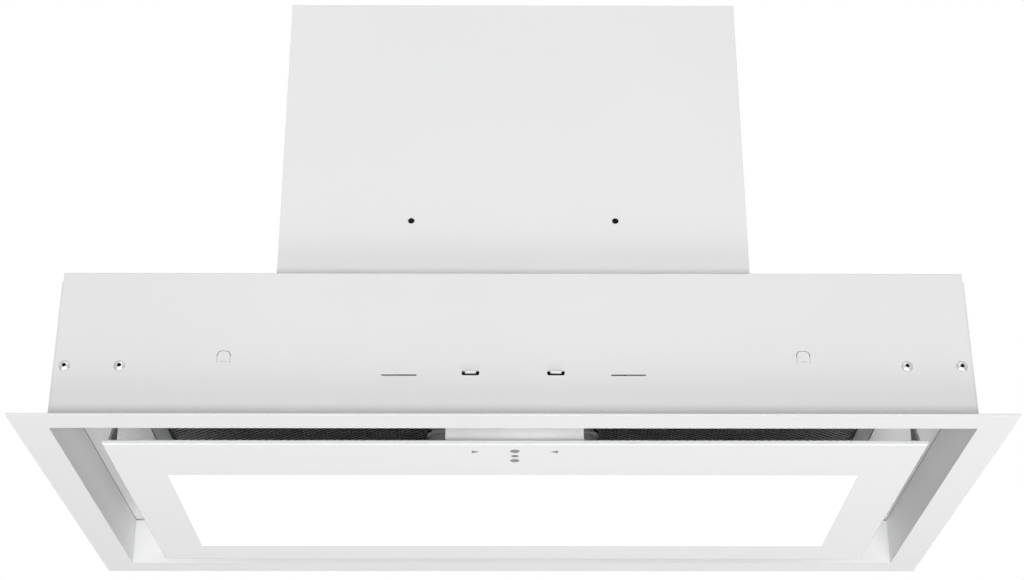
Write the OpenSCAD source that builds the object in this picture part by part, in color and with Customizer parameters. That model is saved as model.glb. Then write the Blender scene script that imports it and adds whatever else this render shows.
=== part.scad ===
// Built-in range hood insert for a wall cabinet: a folded steel body with a trim frame,
// a centrifugal blower in a chimney box, a mesh grease filter and a hinged glass panel
// with an opal light window.
// Origin: middle of the underside, at the glass face. X right, Y to the back, Z up.

/* [Trim frame and body] */
// Width over the trim frame
hood_w = 600; // [560:5:760]
// Depth over the trim frame
hood_d = 319; // [314:1:360]
// Visible width of the trim frame all round
flange_band = 21; // [18:0.5:26]
// Thickness of every folded steel sheet
sheet_t = 0.7; // [0.6:0.1:1.0]
// Width of the folded hem along the trim frame's outer edge
hem_w = 8; // [5:0.5:12]
// How far the glass stands below the trim frame
glass_drop = 3; // [2:0.5:6]
// Height of the inner skirt, from the trim frame to the ledge
skirt_h = 33.5; // [33:0.5:45]
// Height of the body above the trim frame
body_h = 102.5; // [100:0.5:130]
// How much lower the side sheets end than the front sheet
side_drop = 6; // [4:0.5:10]
// Height of the turned rims that the body sheets are riveted to
rim_h = 13; // [11:0.5:16]
// Clearance between folded sheets at the corners
fold_gap = 0.3; // [0.2:0.1:0.5]

/* [Chimney box] */
// Width of the chimney box
chimney_w = 299.5; // [290:0.5:330]
// Depth of the chimney box
chimney_d = 247; // [240:1:256]
// Height of the chimney box above the body
chimney_h = 210; // [206:1:240]
// Width of the chimney's foot flanges
foot_w = 10; // [8:0.5:12]
// Height of the two front screw holes above the body
chimney_hole_up = 45.5; // [30:0.5:80]
// Distance between the two front screw holes
chimney_hole_gap = 131; // [100:1:160]
// Radius of the front screw holes
chimney_hole_r = 2.1; // [1.5:0.1:3]

/* [Outlet] */
// Inner radius of the outlet collar
collar_r = 73; // [70:0.5:75]
// Wall of the outlet collar
collar_wall = 1.5; // [1.2:0.1:2.5]
// Height of the outlet collar above its flange
collar_h = 43.4; // [38:0.2:50]
// Width of the collar's flange
collar_flange_w = 11.5; // [11:0.5:14]
// Thickness of the collar's flange
collar_flange_t = 1.6; // [1.2:0.1:2.5]
// Distance of the outlet's axis behind the middle
outlet_y = 34; // [30:0.5:36]
// Height of the damper axle above the chimney box
axle_up = 14; // [12:0.5:18]
// Radius of the damper axle
axle_r = 1.5; // [1.2:0.1:2]
// Thickness of the damper flaps
flap_t = 1.2; // [1:0.1:1.6]
// Outer radius of the flap knuckles
knuckle_r = 3; // [2.8:0.1:3.4]
// Running clearance of pins and shafts, on the radius
run_gap = 0.05; // [0.02:0.01:0.08]

/* [Blower] */
// Width over the blower housing
scroll_w = 152; // [148:1:160]
// Wall of the blower housing
scroll_wall = 2; // [1.6:0.1:3]
// Radius of the scroll at its tongue
scroll_r0 = 91; // [90.5:0.5:92]
// Radius of the scroll at its outlet wall
scroll_r1 = 112; // [110:0.5:113]
// Angle of the tongue, from the outlet wall's side
tongue_a = 75; // [72:1:78]
// Height of the blower axis above the body
blower_up = 76.5; // [74:0.5:80]
// Distance of the blower axis in front of the middle
blower_fwd = 6; // [5:0.5:8]
// Height of the outlet mouth above the blower axis
mouth_up = 98; // [97:0.5:102]
// Radius of the inlet mouth
inlet_r = 65; // [62:0.5:66]
// Rounding of the inlet mouth
inlet_round = 6; // [5:0.5:7]
// Outer radius of the impeller
impeller_r = 84; // [80:0.5:85]
// Radial depth of the impeller blades
blade_depth = 16; // [14:0.5:17]
// Width of the impeller
impeller_w = 132; // [126:1:134]
// Number of impeller blades
blade_count = 36; // [24:2:40]
// Thickness of an impeller blade
blade_t = 1; // [0.8:0.1:1.4]
// Radius of the motor
motor_r = 44; // [40:0.5:48]
// Radius of the motor shaft
shaft_r = 4; // [3:0.5:5]

/* [Filter] */
// Width of the filter
filter_w = 470; // [440:1:472]
// Front edge of the filter, in front of the middle
filter_fwd = 73.2; // [72:0.1:76]
// Rear edge of the filter, behind the middle
filter_back = 95.2; // [92:0.1:97]
// Height of the filter frame
filter_h = 9; // [8.5:0.1:11]
// Width of the filter frame's band
filter_band = 10; // [9:0.5:14]
// Sheet of the filter frame
filter_t = 0.8; // [0.7:0.1:1]
// Gap between the filter and the ledge around it
filter_gap = 0.8; // [0.5:0.1:1]
// Pitch of the diamond mesh openings
mesh_pitch = 15; // [13:0.5:20]
// Width of the metal between the mesh openings
mesh_web = 2.4; // [2:0.1:3.5]
// Length of the oval handle
handle_l = 112; // [100:1:124]
// Width of the oval handle
handle_w = 16.2; // [15.6:0.2:18]
// Distance of the handle in front of the middle
handle_fwd = 36; // [34:0.5:38]
// Width of the latch plate
latch_w = 101; // [96:1:104]
// Travel of the latch
latch_travel = 4.2; // [3.5:0.1:4.4]

/* [Glass panel] */
// Width of the glass panel
glass_w = 504.5; // [502:0.5:507]
// How far the glass is bonded to the right of the middle
glass_x = 1.2; // [0:0.1:1.5]
// Depth of the glass panel
glass_d = 237.5; // [236:0.5:240]
// Thickness of the glass panel
glass_t = 3; // [3:0.5:4]
// Chamfer along the glass edges
glass_chamfer = 0.6; // [0.4:0.1:1]
// Width of the light window
window_w = 439; // [420:1:442]
// Depth of the light window
window_d = 148; // [140:1:150]
// Distance of the light window behind the middle
window_y = 12.5; // [12:0.5:14]
// Height of the light tray behind the glass
tray_h = 10; // [9:0.5:12]
// How far the touch control and the catches stand to the right of the middle
panel_x = 0.7; // [0:0.1:2]
// Width of the control housing
control_w = 85.4; // [80:0.2:90]
// Height of the control housing
control_h = 18; // [16:0.5:19]
// Distance of the panel hinges from the middle
hinge_x = 200; // [185:1:210]
// Distance of the panel hinges behind the middle
hinge_y = 108; // [107:0.5:109]
// Height of the hinge pins above the glass face
hinge_z = 20; // [19.5:0.5:21]
// Radius of the hinge pins
pin_r = 2; // [1.5:0.1:2.2]
// Distance of the catch posts from the middle
catch_x = 247.2; // [246.8:0.1:248]
// Distance of the catch posts in front of the middle
catch_fwd = 106; // [105:0.5:107]
// Radius of the ball on a catch post
ball_r = 4.2; // [3.8:0.1:4.4]

/* [Fasteners and electrics] */
// Radius of a rivet head
rivet_r = 3.5; // [3:0.1:4]
// Radius of a rivet's shank
shank_r = 1.6; // [1.4:0.1:2]
// Clearance of a shank in its hole, on the radius
hole_gap = 0.1; // [0.05:0.05:0.2]
// Distance of the corner rivets from the body's sides
rivet_in = 6.9; // [6.4:0.1:12]
// Distance between the two rivets of a corner
rivet_step = 33.5; // [24:0.5:40]
// Distance of a side's end rivets from its corners
side_rivet_in = 49.9; // [40:0.1:60]
// Height of the rivets above the ledge
rivet_up = 6.5; // [5:0.5:7]
// Radius of the cabinet fixing holes in the side sheets
fixing_r = 2.5; // [2:0.1:3]
// Distance between the two fixing holes of a side
fixing_gap = 200; // [160:5:220]
// Height of the fixing holes above the trim frame
fixing_up = 72; // [60:1:76]
// Radius of the cable gland's bore
gland_r = 4; // [3:0.5:5]
// Gap between the chimney's feet and the power box
box_gap = 6.25; // [5:0.25:8]
// Width of the power box
box_w = 90; // [84:1:92]
// Depth of the power box
box_d = 80; // [74:1:90]
// Height of the power box
box_h = 34; // [32:1:38]
// Distance of the power box in front of the middle
box_fwd = 20; // [10:1:30]

/* [Hidden] */
$fn = 96;
e = 1;

zf = glass_drop;
z_ledge = zf + skirt_h;
z_top = zf + body_h;
z_ch = z_top + chimney_h;
ox = hood_w / 2 - flange_band;
oy = hood_d / 2 - flange_band;
sx = ox + sheet_t;
sy = oy + sheet_t;
bx = sx + sheet_t;
by = sy + sheet_t;
corner_gap = 16.5;
rim_x = sx - sheet_t - fold_gap;
rim_y = oy - corner_gap;
z_rivet = z_ledge + rivet_up;
cw = chimney_w / 2;
cd = chimney_d / 2;
z_axle = z_ch + axle_up;
shank_hole = shank_r + hole_gap;
deck_lip = 10;
deck_x = cw - deck_lip;
deck_y = cd - deck_lip;
deck_rim = [15, 17.5];
z_deck_rivet = z_top - 11;
ledge_x = filter_w / 2 + filter_gap;
ledge_y0 = -filter_fwd - filter_gap;
ledge_y1 = filter_back + filter_gap;
sc_y = -blower_fwd;
sc_z = z_top + blower_up;
z_mouth = sc_z + mouth_up;
tongue_y = sc_y + scroll_r0 * cos(tongue_a);
neck_y = sc_y + scroll_r1;
latch_z = z_ledge + filter_t + 0.1;
box_x = [cw + foot_w + box_gap, cw + foot_w + box_gap + box_w];
box_y = [-box_fwd - box_d, -box_fwd];
box_z = [z_top - sheet_t - box_h, z_top - sheet_t];
gland_x = box_x[1] - 16;
gland_y = box_y[1] - 20;
gland_body_r = 8;
rivet_xs = [-bx + rivet_in, -bx + rivet_in + rivet_step, bx - rivet_in - rivet_step, bx - rivet_in];
side_rivet_ys = [-by + side_rivet_in, 0, by - side_rivet_in];
foot_rivet_xs = [40 - cw, 0, cw - 40];
foot_rivet_ys = [43.5 - cd, 0, cd - 43.5];

// A box from its low and high X, Y and Z
module block(x, y, z) {
  translate([x[0], y[0], z[0]]) cube([x[1] - x[0], y[1] - y[0], z[1] - z[0]]);
}

// A round bar along X, Y or Z from one end to the other
module bar_x(r, x, y, z) translate([x[0], y, z]) rotate([0, 90, 0]) cylinder(r=r, h=x[1] - x[0]);
module bar_y(r, x, y, z) translate([x, y[1], z]) rotate([90, 0, 0]) cylinder(r=r, h=y[1] - y[0]);
module bar_z(r, x, y, z) translate([x, y, z[0]]) cylinder(r=r, h=z[1] - z[0]);

// A four-sided frame: outer half sizes, inner half sizes and height
module ring_box(xo, yo, xi, yi, z) {
  difference() {
    block([-xo, xo], [-yo, yo], z);
    block([-xi, xi], [-yi, yi], [z[0] - e, z[1] + e]);
  }
}

// A flat oval: overall length and width, drawn along X
module oval(l, w) {
  square([l - w, w], center=true);
  for (s = [-1, 1]) translate([s * (l - w) / 2, 0]) circle(d=w);
}

// A blind rivet on +Z: domed head with its mandrel hole, shank and set tail
module rivet(grip) {
  dome = 1.5;
  big = (rivet_r * rivet_r + dome * dome) / (2 * dome);
  difference() {
    union() {
      intersection() {
        translate([0, 0, dome - big]) sphere(r=big, $fn=48);
        cylinder(r=rivet_r, h=dome, $fn=48);
      }
      translate([0, 0, -grip - 1.6]) cylinder(r=shank_r, h=grip + 1.8, $fn=32);
      translate([0, 0, -grip - 1.8]) cylinder(r=shank_r + 0.6, h=1.6, $fn=32);
    }
    translate([0, 0, -grip - 0.8]) cylinder(r=1.25, h=grip + 0.8 + dome + e, $fn=32);
  }
}

// A pan-head screw on +Z
module screw(r, head_r, len) {
  translate([0, 0, -len]) cylinder(r=r, h=len + 0.2, $fn=32);
  difference() {
    cylinder(r=head_r, h=1.6, $fn=40);
    translate([0, 0, 0.8]) cylinder(r=head_r * 0.4, h=2, $fn=6);
  }
}

// Rivet holes along the front and back sheets, and along the sides
module wall_rivet_holes() {
  for (x = rivet_xs) bar_y(shank_hole, x, [-by - e, by + e], z_rivet);
}
module side_rivet_holes() {
  for (y = side_rivet_ys) bar_x(shank_hole, [-bx - e, bx + e], y, z_rivet);
}

// The flange ring with its folded hem and the skirt that rises to the ledge
module trim_frame() color("white") {
  hw = hood_w / 2;
  hd = hood_d / 2;
  difference() {
    union() {
      block([-hw, hw], [-hd, hd], [zf, zf + sheet_t]);
      ring_box(hw, hd, hw - hem_w, hd - hem_w, [zf + sheet_t, zf + 2 * sheet_t]);
      block([-sx, sx], [-sy, sy], [zf, z_ledge]);
    }
    block([-ox, ox], [-oy, oy], [zf - e, z_ledge + e]);
  }
}

// What passes through the front sheet: two bent tabs of the ledge in small windows, two thin
// slots in front of the ledge's edge and two half-cut knock-outs
tab_xs = [-26.3, 25.7];
tab_w = 6.6;
tab_out = 3.8;
tab_z = [z_ledge + 1.1, z_ledge + 1.1 + sheet_t];
window_gap = 2;
window_z = [z_ledge + 0.4, z_ledge + 3.4];
slot_x = 69.8;
slot_w = 21.2;
slot_z = [z_ledge + 0.1, z_ledge + 1];
slot_depth = 1.6;
knock_x = 177;
knock_top = z_ledge + 16.6;
knock_w = 8.3;
knock_h = 8.5;
knock_r = 3;
knock_cut = 0.35;

// A shape from z = 0 down to -h with round upper corners
module arch(w, h, r) {
  translate([-w / 2, -h]) square([w, h - r]);
  translate([r - w / 2, -h]) square([w - 2 * r, h]);
  for (s = [-1, 1]) translate([s * (w / 2 - r), -r]) circle(r=r, $fn=32);
}
module knock_out() {
  difference() {
    arch(knock_w, knock_h, knock_r);
    translate([0, -knock_cut]) arch(knock_w - 2 * knock_cut, knock_h, knock_r - knock_cut);
  }
  translate([-knock_w / 4, knock_cut - knock_h + 0.8]) square([knock_w / 2, knock_cut]);
}
module tab_window() {
  w = tab_w + 2 * window_gap;
  h = window_z[1] - window_z[0];
  translate([0, window_z[0]]) mirror([0, 1]) arch(w, h, 1);
}

module wall_sheet() {
  difference() {
    union() {
      block([-sx, sx], [-by, -sy], [zf + sheet_t, z_top]);
      for (s = [-1, 1])
        block([min(s * sx, s * (sx - sheet_t)), max(s * sx, s * (sx - sheet_t))],
          [-by, -sy + 12], [z_ledge + 4, z_top - sheet_t - fold_gap]);
    }
    for (x = rivet_xs) bar_y(shank_hole, x, [-by - e, -sy + e], z_rivet);
  }
}

module front_sheet() color("white") {
  difference() {
    wall_sheet();
    for (x = tab_xs)
      translate([x, -sy + e, 0]) rotate([90, 0, 0]) linear_extrude(sheet_t + 2 * e) tab_window();
    for (s = [-1, 1]) {
      block([s * slot_x - slot_w / 2, s * slot_x + slot_w / 2], [-by - e, -sy + e], slot_z);
      translate([s * knock_x, -sy + e, knock_top]) rotate([90, 0, 0])
        linear_extrude(sheet_t + 2 * e) knock_out();
    }
  }
}

module back_sheet() color("white") rotate([0, 0, 180]) wall_sheet();

module side_sheet() {
  difference() {
    block([sx, bx], [-by, by], [zf + sheet_t, z_top - side_drop]);
    for (y = side_rivet_ys) bar_x(shank_hole, [sx - e, bx + e], y, z_rivet);
    for (y = side_rivet_ys) bar_x(shank_hole, [sx - e, bx + e], y, z_deck_rivet);
    for (s = [-1, 1]) bar_x(fixing_r, [sx - e, bx + e], s * fixing_gap / 2, zf + fixing_up);
  }
}

module side_sheet_left() color("white") mirror([1, 0, 0]) side_sheet();
module side_sheet_right() color("white") side_sheet();

// The ceiling of the suction space, with the filter opening and upturned rims
module filter_ledge() color("white") {
  rim_z = [z_ledge, z_ledge + rim_h];
  difference() {
    union() {
      block([-sx, sx], [-sy, sy], [z_ledge, z_ledge + sheet_t]);
      for (s = [-1, 1]) {
        block([-rim_x, rim_x], [s > 0 ? oy : -sy, s > 0 ? sy : -oy], rim_z);
        block([s > 0 ? ox : -sx, s > 0 ? sx : -ox], [-rim_y, rim_y], rim_z);
      }
    }
    block([-ledge_x, ledge_x], [ledge_y0, ledge_y1], [z_ledge - e, z_ledge + e + sheet_t]);
    for (x = tab_xs)
      block([x - tab_w / 2 - window_gap, x + tab_w / 2 + window_gap],
        [-sy - e, -oy + e], [z_ledge + sheet_t, window_z[1]]);
    for (s = [-1, 1])
      block([s * slot_x - slot_w / 2, s * slot_x + slot_w / 2],
        [-sy - e, -sy + slot_depth], [z_ledge - e, slot_z[1]]);
    for (s = [-1, 1])
      block([panel_x + s * catch_x - ball_r - 0.4, panel_x + s * catch_x + ball_r + 0.4],
        [-catch_fwd - 6, -catch_fwd + 6], [z_ledge - e, z_ledge + sheet_t + e]);
    for (x = hinge_rivet_xs) bar_z(shank_hole, x, hinge_rivet_y, [z_ledge - e, z_ledge + 2]);
    wall_rivet_holes();
    side_rivet_holes();
  }
  for (x = tab_xs) {
    block([x - tab_w / 2, x + tab_w / 2], [-by - tab_out, -oy], tab_z);
    block([x - tab_w / 2, x + tab_w / 2], [-sy, -oy], [tab_z[0], window_z[1] + 0.5]);
  }
}

// The deck that closes the body and carries the chimney box and the electrics
module top_deck() color("white") {
  difference() {
    union() {
      block([-sx, sx], [-sy, sy], [z_top - sheet_t, z_top]);
      for (s = [-1, 1]) {
        block([-rim_x, rim_x], [s > 0 ? oy : -sy, s > 0 ? sy : -oy], [z_top - deck_rim[0], z_top]);
        block([s > 0 ? ox : -sx, s > 0 ? sx : -ox], [-rim_y, rim_y], [z_top - deck_rim[1], z_top]);
      }
    }
    block([-deck_x, deck_x], [-deck_y, deck_y], [z_top - sheet_t - e, z_top + e]);
    bar_z(gland_body_r + hole_gap, gland_x, gland_y, [z_top - 2, z_top + e]);
    for (y = side_rivet_ys) bar_x(shank_hole, [-bx - e, bx + e], y, z_deck_rivet);
    for (s = [-1, 1]) {
      for (x = foot_rivet_xs)
        bar_z(shank_hole, x, s * (cd + foot_w / 2), [z_top - 2, z_top + e]);
      for (y = foot_rivet_ys)
        bar_z(shank_hole, s * (cw + foot_w / 2), y, [z_top - 2, z_top + e]);
    }
  }
}

module body_rivets() color("silver") {
  for (x = rivet_xs) {
    translate([x, -by, z_rivet]) rotate([90, 0, 0]) rivet(2 * sheet_t);
    translate([x, by, z_rivet]) rotate([-90, 0, 0]) rivet(2 * sheet_t);
  }
  for (y = side_rivet_ys, z = [z_rivet, z_deck_rivet]) {
    translate([bx, y, z]) rotate([0, 90, 0]) rivet(2 * sheet_t);
    translate([-bx, y, z]) rotate([0, -90, 0]) rivet(2 * sheet_t);
  }
}

// The chimney's front and sides in one folded sheet with feet all round
module chimney_shell() color("white") {
  difference() {
    union() {
      block([-cw, cw], [-cd, -cd + sheet_t], [z_top, z_ch]);
      block([-cw, cw], [-cd - foot_w, -cd + sheet_t], [z_top, z_top + sheet_t]);
      for (s = [-1, 1]) {
        block([s > 0 ? cw - sheet_t : -cw, s > 0 ? cw : sheet_t - cw], [-cd, cd - sheet_t],
          [z_top, z_ch]);
        block([s > 0 ? cw - sheet_t : -cw - foot_w, s > 0 ? cw + foot_w : sheet_t - cw],
          [-cd, cd - sheet_t], [z_top, z_top + sheet_t]);
        block([s > 0 ? cw - 12 : -cw, s > 0 ? cw : 12 - cw],
          [cd - 2 * sheet_t, cd - sheet_t], [z_top, z_ch - 14]);
      }
    }
    for (s = [-1, 1]) {
      bar_y(chimney_hole_r, s * chimney_hole_gap / 2, [-cd - e, -cd + 2], z_top + chimney_hole_up);
      for (y = foot_rivet_ys)
        bar_z(shank_hole, s * (cw + foot_w / 2), y, [z_top - e, z_top + 2]);
    }
    for (x = foot_rivet_xs) bar_z(shank_hole, x, -cd - foot_w / 2, [z_top - e, z_top + 2]);
    for (y = bracket_ys) bar_x(shank_hole, [-cw - e, cw + e], y, bracket_z + 7);
    back_rivet_holes();
  }
}

module chimney_back() color("white") {
  difference() {
    union() {
      block([-cw, cw], [cd - sheet_t, cd], [z_top, z_ch]);
      block([-cw, cw], [cd - sheet_t, cd + foot_w], [z_top, z_top + sheet_t]);
    }
    for (x = foot_rivet_xs) bar_z(shank_hole, x, cd + foot_w / 2, [z_top - e, z_top + 2]);
    back_rivet_holes();
  }
}
back_rivet_zs = [z_top + 40, z_top + chimney_h / 2, z_ch - 30];
module back_rivet_holes() {
  for (s = [-1, 1], z = back_rivet_zs) bar_y(shank_hole, s * (cw - 6.5), [cd - 2, cd + e], z);
}

module chimney_top() color("white") {
  x = cw - sheet_t;
  y = cd - sheet_t;
  difference() {
    union() {
      block([-x, x], [-y, y], [z_ch - sheet_t, z_ch]);
      ring_box(x, y, x - sheet_t, y - sheet_t, [z_ch - 12, z_ch]);
    }
    bar_z(collar_r, 0, outlet_y, [z_ch - 2, z_ch + e]);
    outlet_screw_holes([z_ch - 2, z_ch + e]);
  }
}

module chimney_rivets() color("silver") {
  z = z_top + sheet_t;
  for (s = [-1, 1]) {
    for (x = foot_rivet_xs) translate([x, s * (cd + foot_w / 2), z]) rivet(2 * sheet_t);
    for (y = foot_rivet_ys) translate([s * (cw + foot_w / 2), y, z]) rivet(2 * sheet_t);
    for (h = back_rivet_zs)
      translate([s * (cw - 6.5), cd, h]) rotate([-90, 0, 0]) rivet(2 * sheet_t);
  }
}

// Screws at the four diagonals of the collar's flange
outlet_screw_r = collar_r + collar_wall + 6;
module at_outlet_screws() {
  for (a = [45:90:315])
    translate([outlet_screw_r * cos(a), outlet_y + outlet_screw_r * sin(a), 0]) children();
}
module outlet_screw_holes(z) {
  at_outlet_screws() translate([0, 0, z[0]]) cylinder(r=shank_hole, h=z[1] - z[0]);
}

// The outlet collar with its flange, the flap seat and the axle holes
module outlet_collar() color("dimgray") {
  ro = collar_r + collar_wall;
  difference() {
    union() {
      bar_z(ro + collar_flange_w, 0, outlet_y, [z_ch, z_ch + collar_flange_t]);
      bar_z(ro, 0, outlet_y, [z_ch, z_ch + collar_flange_t + collar_h]);
    }
    bar_z(collar_r - 2, 0, outlet_y, [z_ch - e, z_axle - flap_t / 2 - 0.2]);
    bar_z(collar_r, 0, outlet_y, [z_ch - e, z_axle - flap_t / 2 - 1.4]);
    bar_z(collar_r, 0, outlet_y, [z_axle - flap_t / 2 - 0.2, z_ch + 100]);
    bar_y(axle_r + run_gap, 0, [outlet_y - ro - e, outlet_y + ro + e], z_axle);
    outlet_screw_holes([z_ch - e, z_ch + collar_flange_t + e]);
  }
}

module outlet_screws() color("silver") {
  at_outlet_screws() translate([0, 0, z_ch + collar_flange_t])
    screw(shank_r, 3, collar_flange_t + sheet_t + 5);
}

module damper_axle() color("silver") {
  half = collar_r + collar_wall - 0.3;
  bar_y(axle_r, 0, [outlet_y - half, outlet_y + half], z_axle);
}

// Half-moon flaps that lie on the seat and swing up about the axle
knuckle_ys = [-58, -30, 0, 30, 58];
module flap(first) {
  r = collar_r - 1;
  z = [z_axle - flap_t / 2, z_axle + flap_t / 2];
  difference() {
    union() {
      intersection() {
        bar_z(r, 0, outlet_y, z);
        block([knuckle_r + 0.5, r + e], [outlet_y - r, outlet_y + r], z);
      }
      for (i = [first, first + 2])
        translate([0, outlet_y, 0]) {
          bar_y(knuckle_r, 0, [knuckle_ys[i] + 0.4, knuckle_ys[i + 1] - 0.4], z_axle);
          block([0, knuckle_r + 1], [knuckle_ys[i] + 0.4, knuckle_ys[i + 1] - 0.4], z);
        }
      for (y = [-36, 0, 36])
        block([16, r - 14], [outlet_y + y - 0.8, outlet_y + y + 0.8],
          [z_axle, z_axle + 2.4]);
    }
    bar_y(axle_r + run_gap, 0, [outlet_y - 80, outlet_y + 80], z_axle);
  }
}
module damper_flap_left() color("gray") mirror([1, 0, 0]) flap(0);
module damper_flap_right() color("gray") flap(1);

// The duct that turns the blower's square mouth into the round outlet
duct_x = scroll_w / 2 - scroll_wall;
z_duct = [z_mouth, z_ch - sheet_t];
module duct_form(grow) {
  hull() {
    translate([-duct_x - grow, tongue_y - grow, z_duct[0] - (grow > 0 ? 0 : e)])
      cube([2 * (duct_x + grow), neck_y - tongue_y + 2 * grow, 0.2]);
    translate([0, outlet_y, z_duct[1] - (grow > 0 ? 0.2 : -e + 0.2)])
      cylinder(r=collar_r - 1.5 + grow, h=0.2, $fn=64);
  }
}
module transition_duct() color("dimgray") {
  difference() {
    union() {
      duct_form(1.5);
      block([-duct_x - 8, duct_x + 8], [tongue_y - 8, neck_y + 8],
        [z_duct[0], z_duct[0] + duct_flange_t]);
      bar_z(outlet_screw_r + 5, 0, outlet_y, [z_duct[1] - 2, z_duct[1]]);
    }
    duct_form(0);
    outlet_screw_holes([z_duct[1] - 2 - e, z_duct[1] + e]);
    at_duct_screws() bar_z(shank_hole, 0, 0, [z_duct[0] - e, z_duct[0] + duct_flange_t + e]);
  }
}

// The scroll's outline, grown by t: a spiral from the tongue and a straight mouth
function scroll_a0(t) = acos((tongue_y - t - sc_y) / (scroll_r0 + t));
function scroll_r(a) = scroll_r0 + (scroll_r1 - scroll_r0) * (a - tongue_a) / (360 - tongue_a);
function scroll_pts(t, n=36) = concat(
  [for (i = [0:n]) let (a = scroll_a0(t) + (360 - scroll_a0(t)) * i / n, r = scroll_r(a) + t)
    [sc_y + r * cos(a), sc_z + r * sin(a)]],
  [[neck_y + t, z_mouth], [tongue_y - t, z_mouth]]);

module scroll_slab(t, x) {
  translate([x[0], 0, 0]) rotate([90, 0, 90]) linear_extrude(x[1] - x[0])
    polygon(scroll_pts(t));
}

// Screw lugs round the parting line of the two halves
lug_as = [115, 165, 215, 262, 308, 344];
lug_r = 4.5;
lug_h = 9;
module at_lugs() {
  for (a = lug_as) {
    r = scroll_r(a) + scroll_wall + 4;
    translate([0, sc_y + r * cos(a), sc_z + r * sin(a)]) children();
  }
}

// Screws at the corners of the mouth flange, and at the housing brackets
module at_duct_screws() {
  for (s = [-1, 1], y = [tongue_y - 4.3, neck_y + 4.3])
    translate([s * (duct_x + 4.7), y, 0]) children();
}
duct_flange_t = 2;
bracket_z = z_mouth - 18;
bracket_ys = [-52, 72];
bracket_d = 20;
bracket_t = 1.5;

// One moulded half of the blower housing, its wall at +X
module scroll_half() {
  h = scroll_w / 2;
  difference() {
    union() {
      scroll_slab(scroll_wall, [0, h]);
      scroll_slab(scroll_wall + 4, [0, scroll_wall]);
      block([0, h + 6], [tongue_y - 8, neck_y + 8], [z_mouth - scroll_wall, z_mouth]);
      at_lugs() bar_x(lug_r, [0, lug_h], 0, 0);
    }
    at_lugs() bar_x(shank_hole, [-e, lug_h + e], 0, 0);
    at_duct_screws() bar_z(shank_hole, 0, 0, [z_mouth - scroll_wall - e, z_mouth + e]);
    for (y = bracket_ys) bar_x(shank_hole, [h - scroll_wall - e, h + e], y, bracket_z - 7);
    scroll_slab(0, [-e, h - scroll_wall]);
    block([-e, h - scroll_wall], [tongue_y, neck_y], [z_mouth - 5, z_mouth + e]);
    bar_x(inlet_r + inlet_round - 2, [h - scroll_wall - e, h + e], sc_y, sc_z);
  }
  translate([h, sc_y, sc_z]) rotate([0, 90, 0]) rotate_extrude()
    translate([inlet_r + inlet_round, -inlet_round]) intersection() {
      difference() {
        circle(r=inlet_round);
        circle(r=inlet_round - 1.6);
      }
      translate([-inlet_round, 0]) square([inlet_round, inlet_round]);
    }
}

module scroll_left() color("dimgray") mirror([1, 0, 0]) scroll_half();
module scroll_right() color("dimgray") difference() {
  union() {
    scroll_half();
    at_motor_arms() bar_x(7, [scroll_w / 2 - 0.5, scroll_w / 2 + 3], arm_r, 0);
  }
  at_motor_arms() bar_x(2 + hole_gap, [scroll_w / 2 - 5, scroll_w / 2 + 4], arm_r, 0);
}

module scroll_screws() color("silver") {
  at_lugs() translate([lug_h, 0, 0]) rotate([0, 90, 0]) screw(shank_r, 3, 2 * lug_h - 1);
}
module duct_screws() color("silver") {
  at_duct_screws() translate([0, 0, z_mouth + duct_flange_t])
    screw(shank_r, 2.8, duct_flange_t + scroll_wall + 4);
}

// Folded steel brackets between the blower housing and the chimney's sides
module blower_brackets() color("silver") {
  x0 = scroll_w / 2;
  x1 = cw - sheet_t;
  z = bracket_z;
  for (s = [-1, 1], mid = bracket_ys)
    scale([s, 1, 1]) difference() {
      y = [mid - bracket_d / 2, mid + bracket_d / 2];
      union() {
        block([x0, x1], y, [z, z + bracket_t]);
        block([x0, x0 + bracket_t], y, [z - 14, z + bracket_t]);
        block([x1 - bracket_t, x1], y, [z, z + 14]);
      }
      bar_x(shank_hole, [x0 - e, x0 + bracket_t + e], mid, z - 7);
      bar_x(shank_hole, [x1 - bracket_t - e, x1 + e], mid, z + 7);
    }
}
module bracket_screws() color("silver") {
  for (s = [-1, 1], y = bracket_ys) scale([s, 1, 1]) {
    translate([scroll_w / 2 + bracket_t, y, bracket_z - 7]) rotate([0, 90, 0])
      screw(shank_r, 3, bracket_t + 1.6);
    translate([cw, y, bracket_z + 7]) rotate([0, 90, 0])
      screw(shank_r, 3, sheet_t + bracket_t + 3);
  }
}

// The three-armed bracket that holds the motor across the right inlet
arm_r = inlet_r + inlet_round + 9;
module at_motor_arms() {
  for (a = [90, 210, 330])
    translate([0, sc_y, sc_z]) rotate([a, 0, 0]) children();
}
bracket_x = scroll_w / 2 + 5;
module motor_bracket() color("silver") {
  difference() {
    union() {
      bar_x(motor_r - 8, [bracket_x, bracket_x + 2.5], sc_y, sc_z);
      at_motor_arms() {
        block([bracket_x, bracket_x + 2.5], [0, arm_r], [-7, 7]);
        bar_x(9, [bracket_x, bracket_x + 2.5], arm_r, 0);
        block([bracket_x + 2.5, bracket_x + 6], [motor_r - 12, arm_r - 12], [-1, 1]);
      }
    }
    bar_x(14, [bracket_x - e, bracket_x + 4], sc_y, sc_z);
    at_motor_arms() bar_x(5 + hole_gap, [bracket_x - e, bracket_x + 4], arm_r, 0);
  }
}

module motor_grommets() color("black") {
  at_motor_arms() difference() {
    union() {
      bar_x(8, [scroll_w / 2 + 3, bracket_x], arm_r, 0);
      bar_x(5, [scroll_w / 2 + 3, bracket_x + 2.5], arm_r, 0);
      bar_x(8, [bracket_x + 2.5, bracket_x + 4.5], arm_r, 0);
    }
    bar_x(2.2, [scroll_w / 2, bracket_x + 6], arm_r, 0);
  }
}
module motor_screws() color("silver") {
  at_motor_arms() translate([bracket_x + 4.5, arm_r, 0]) rotate([0, 90, 0]) screw(2, 4, 11);
}

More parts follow.
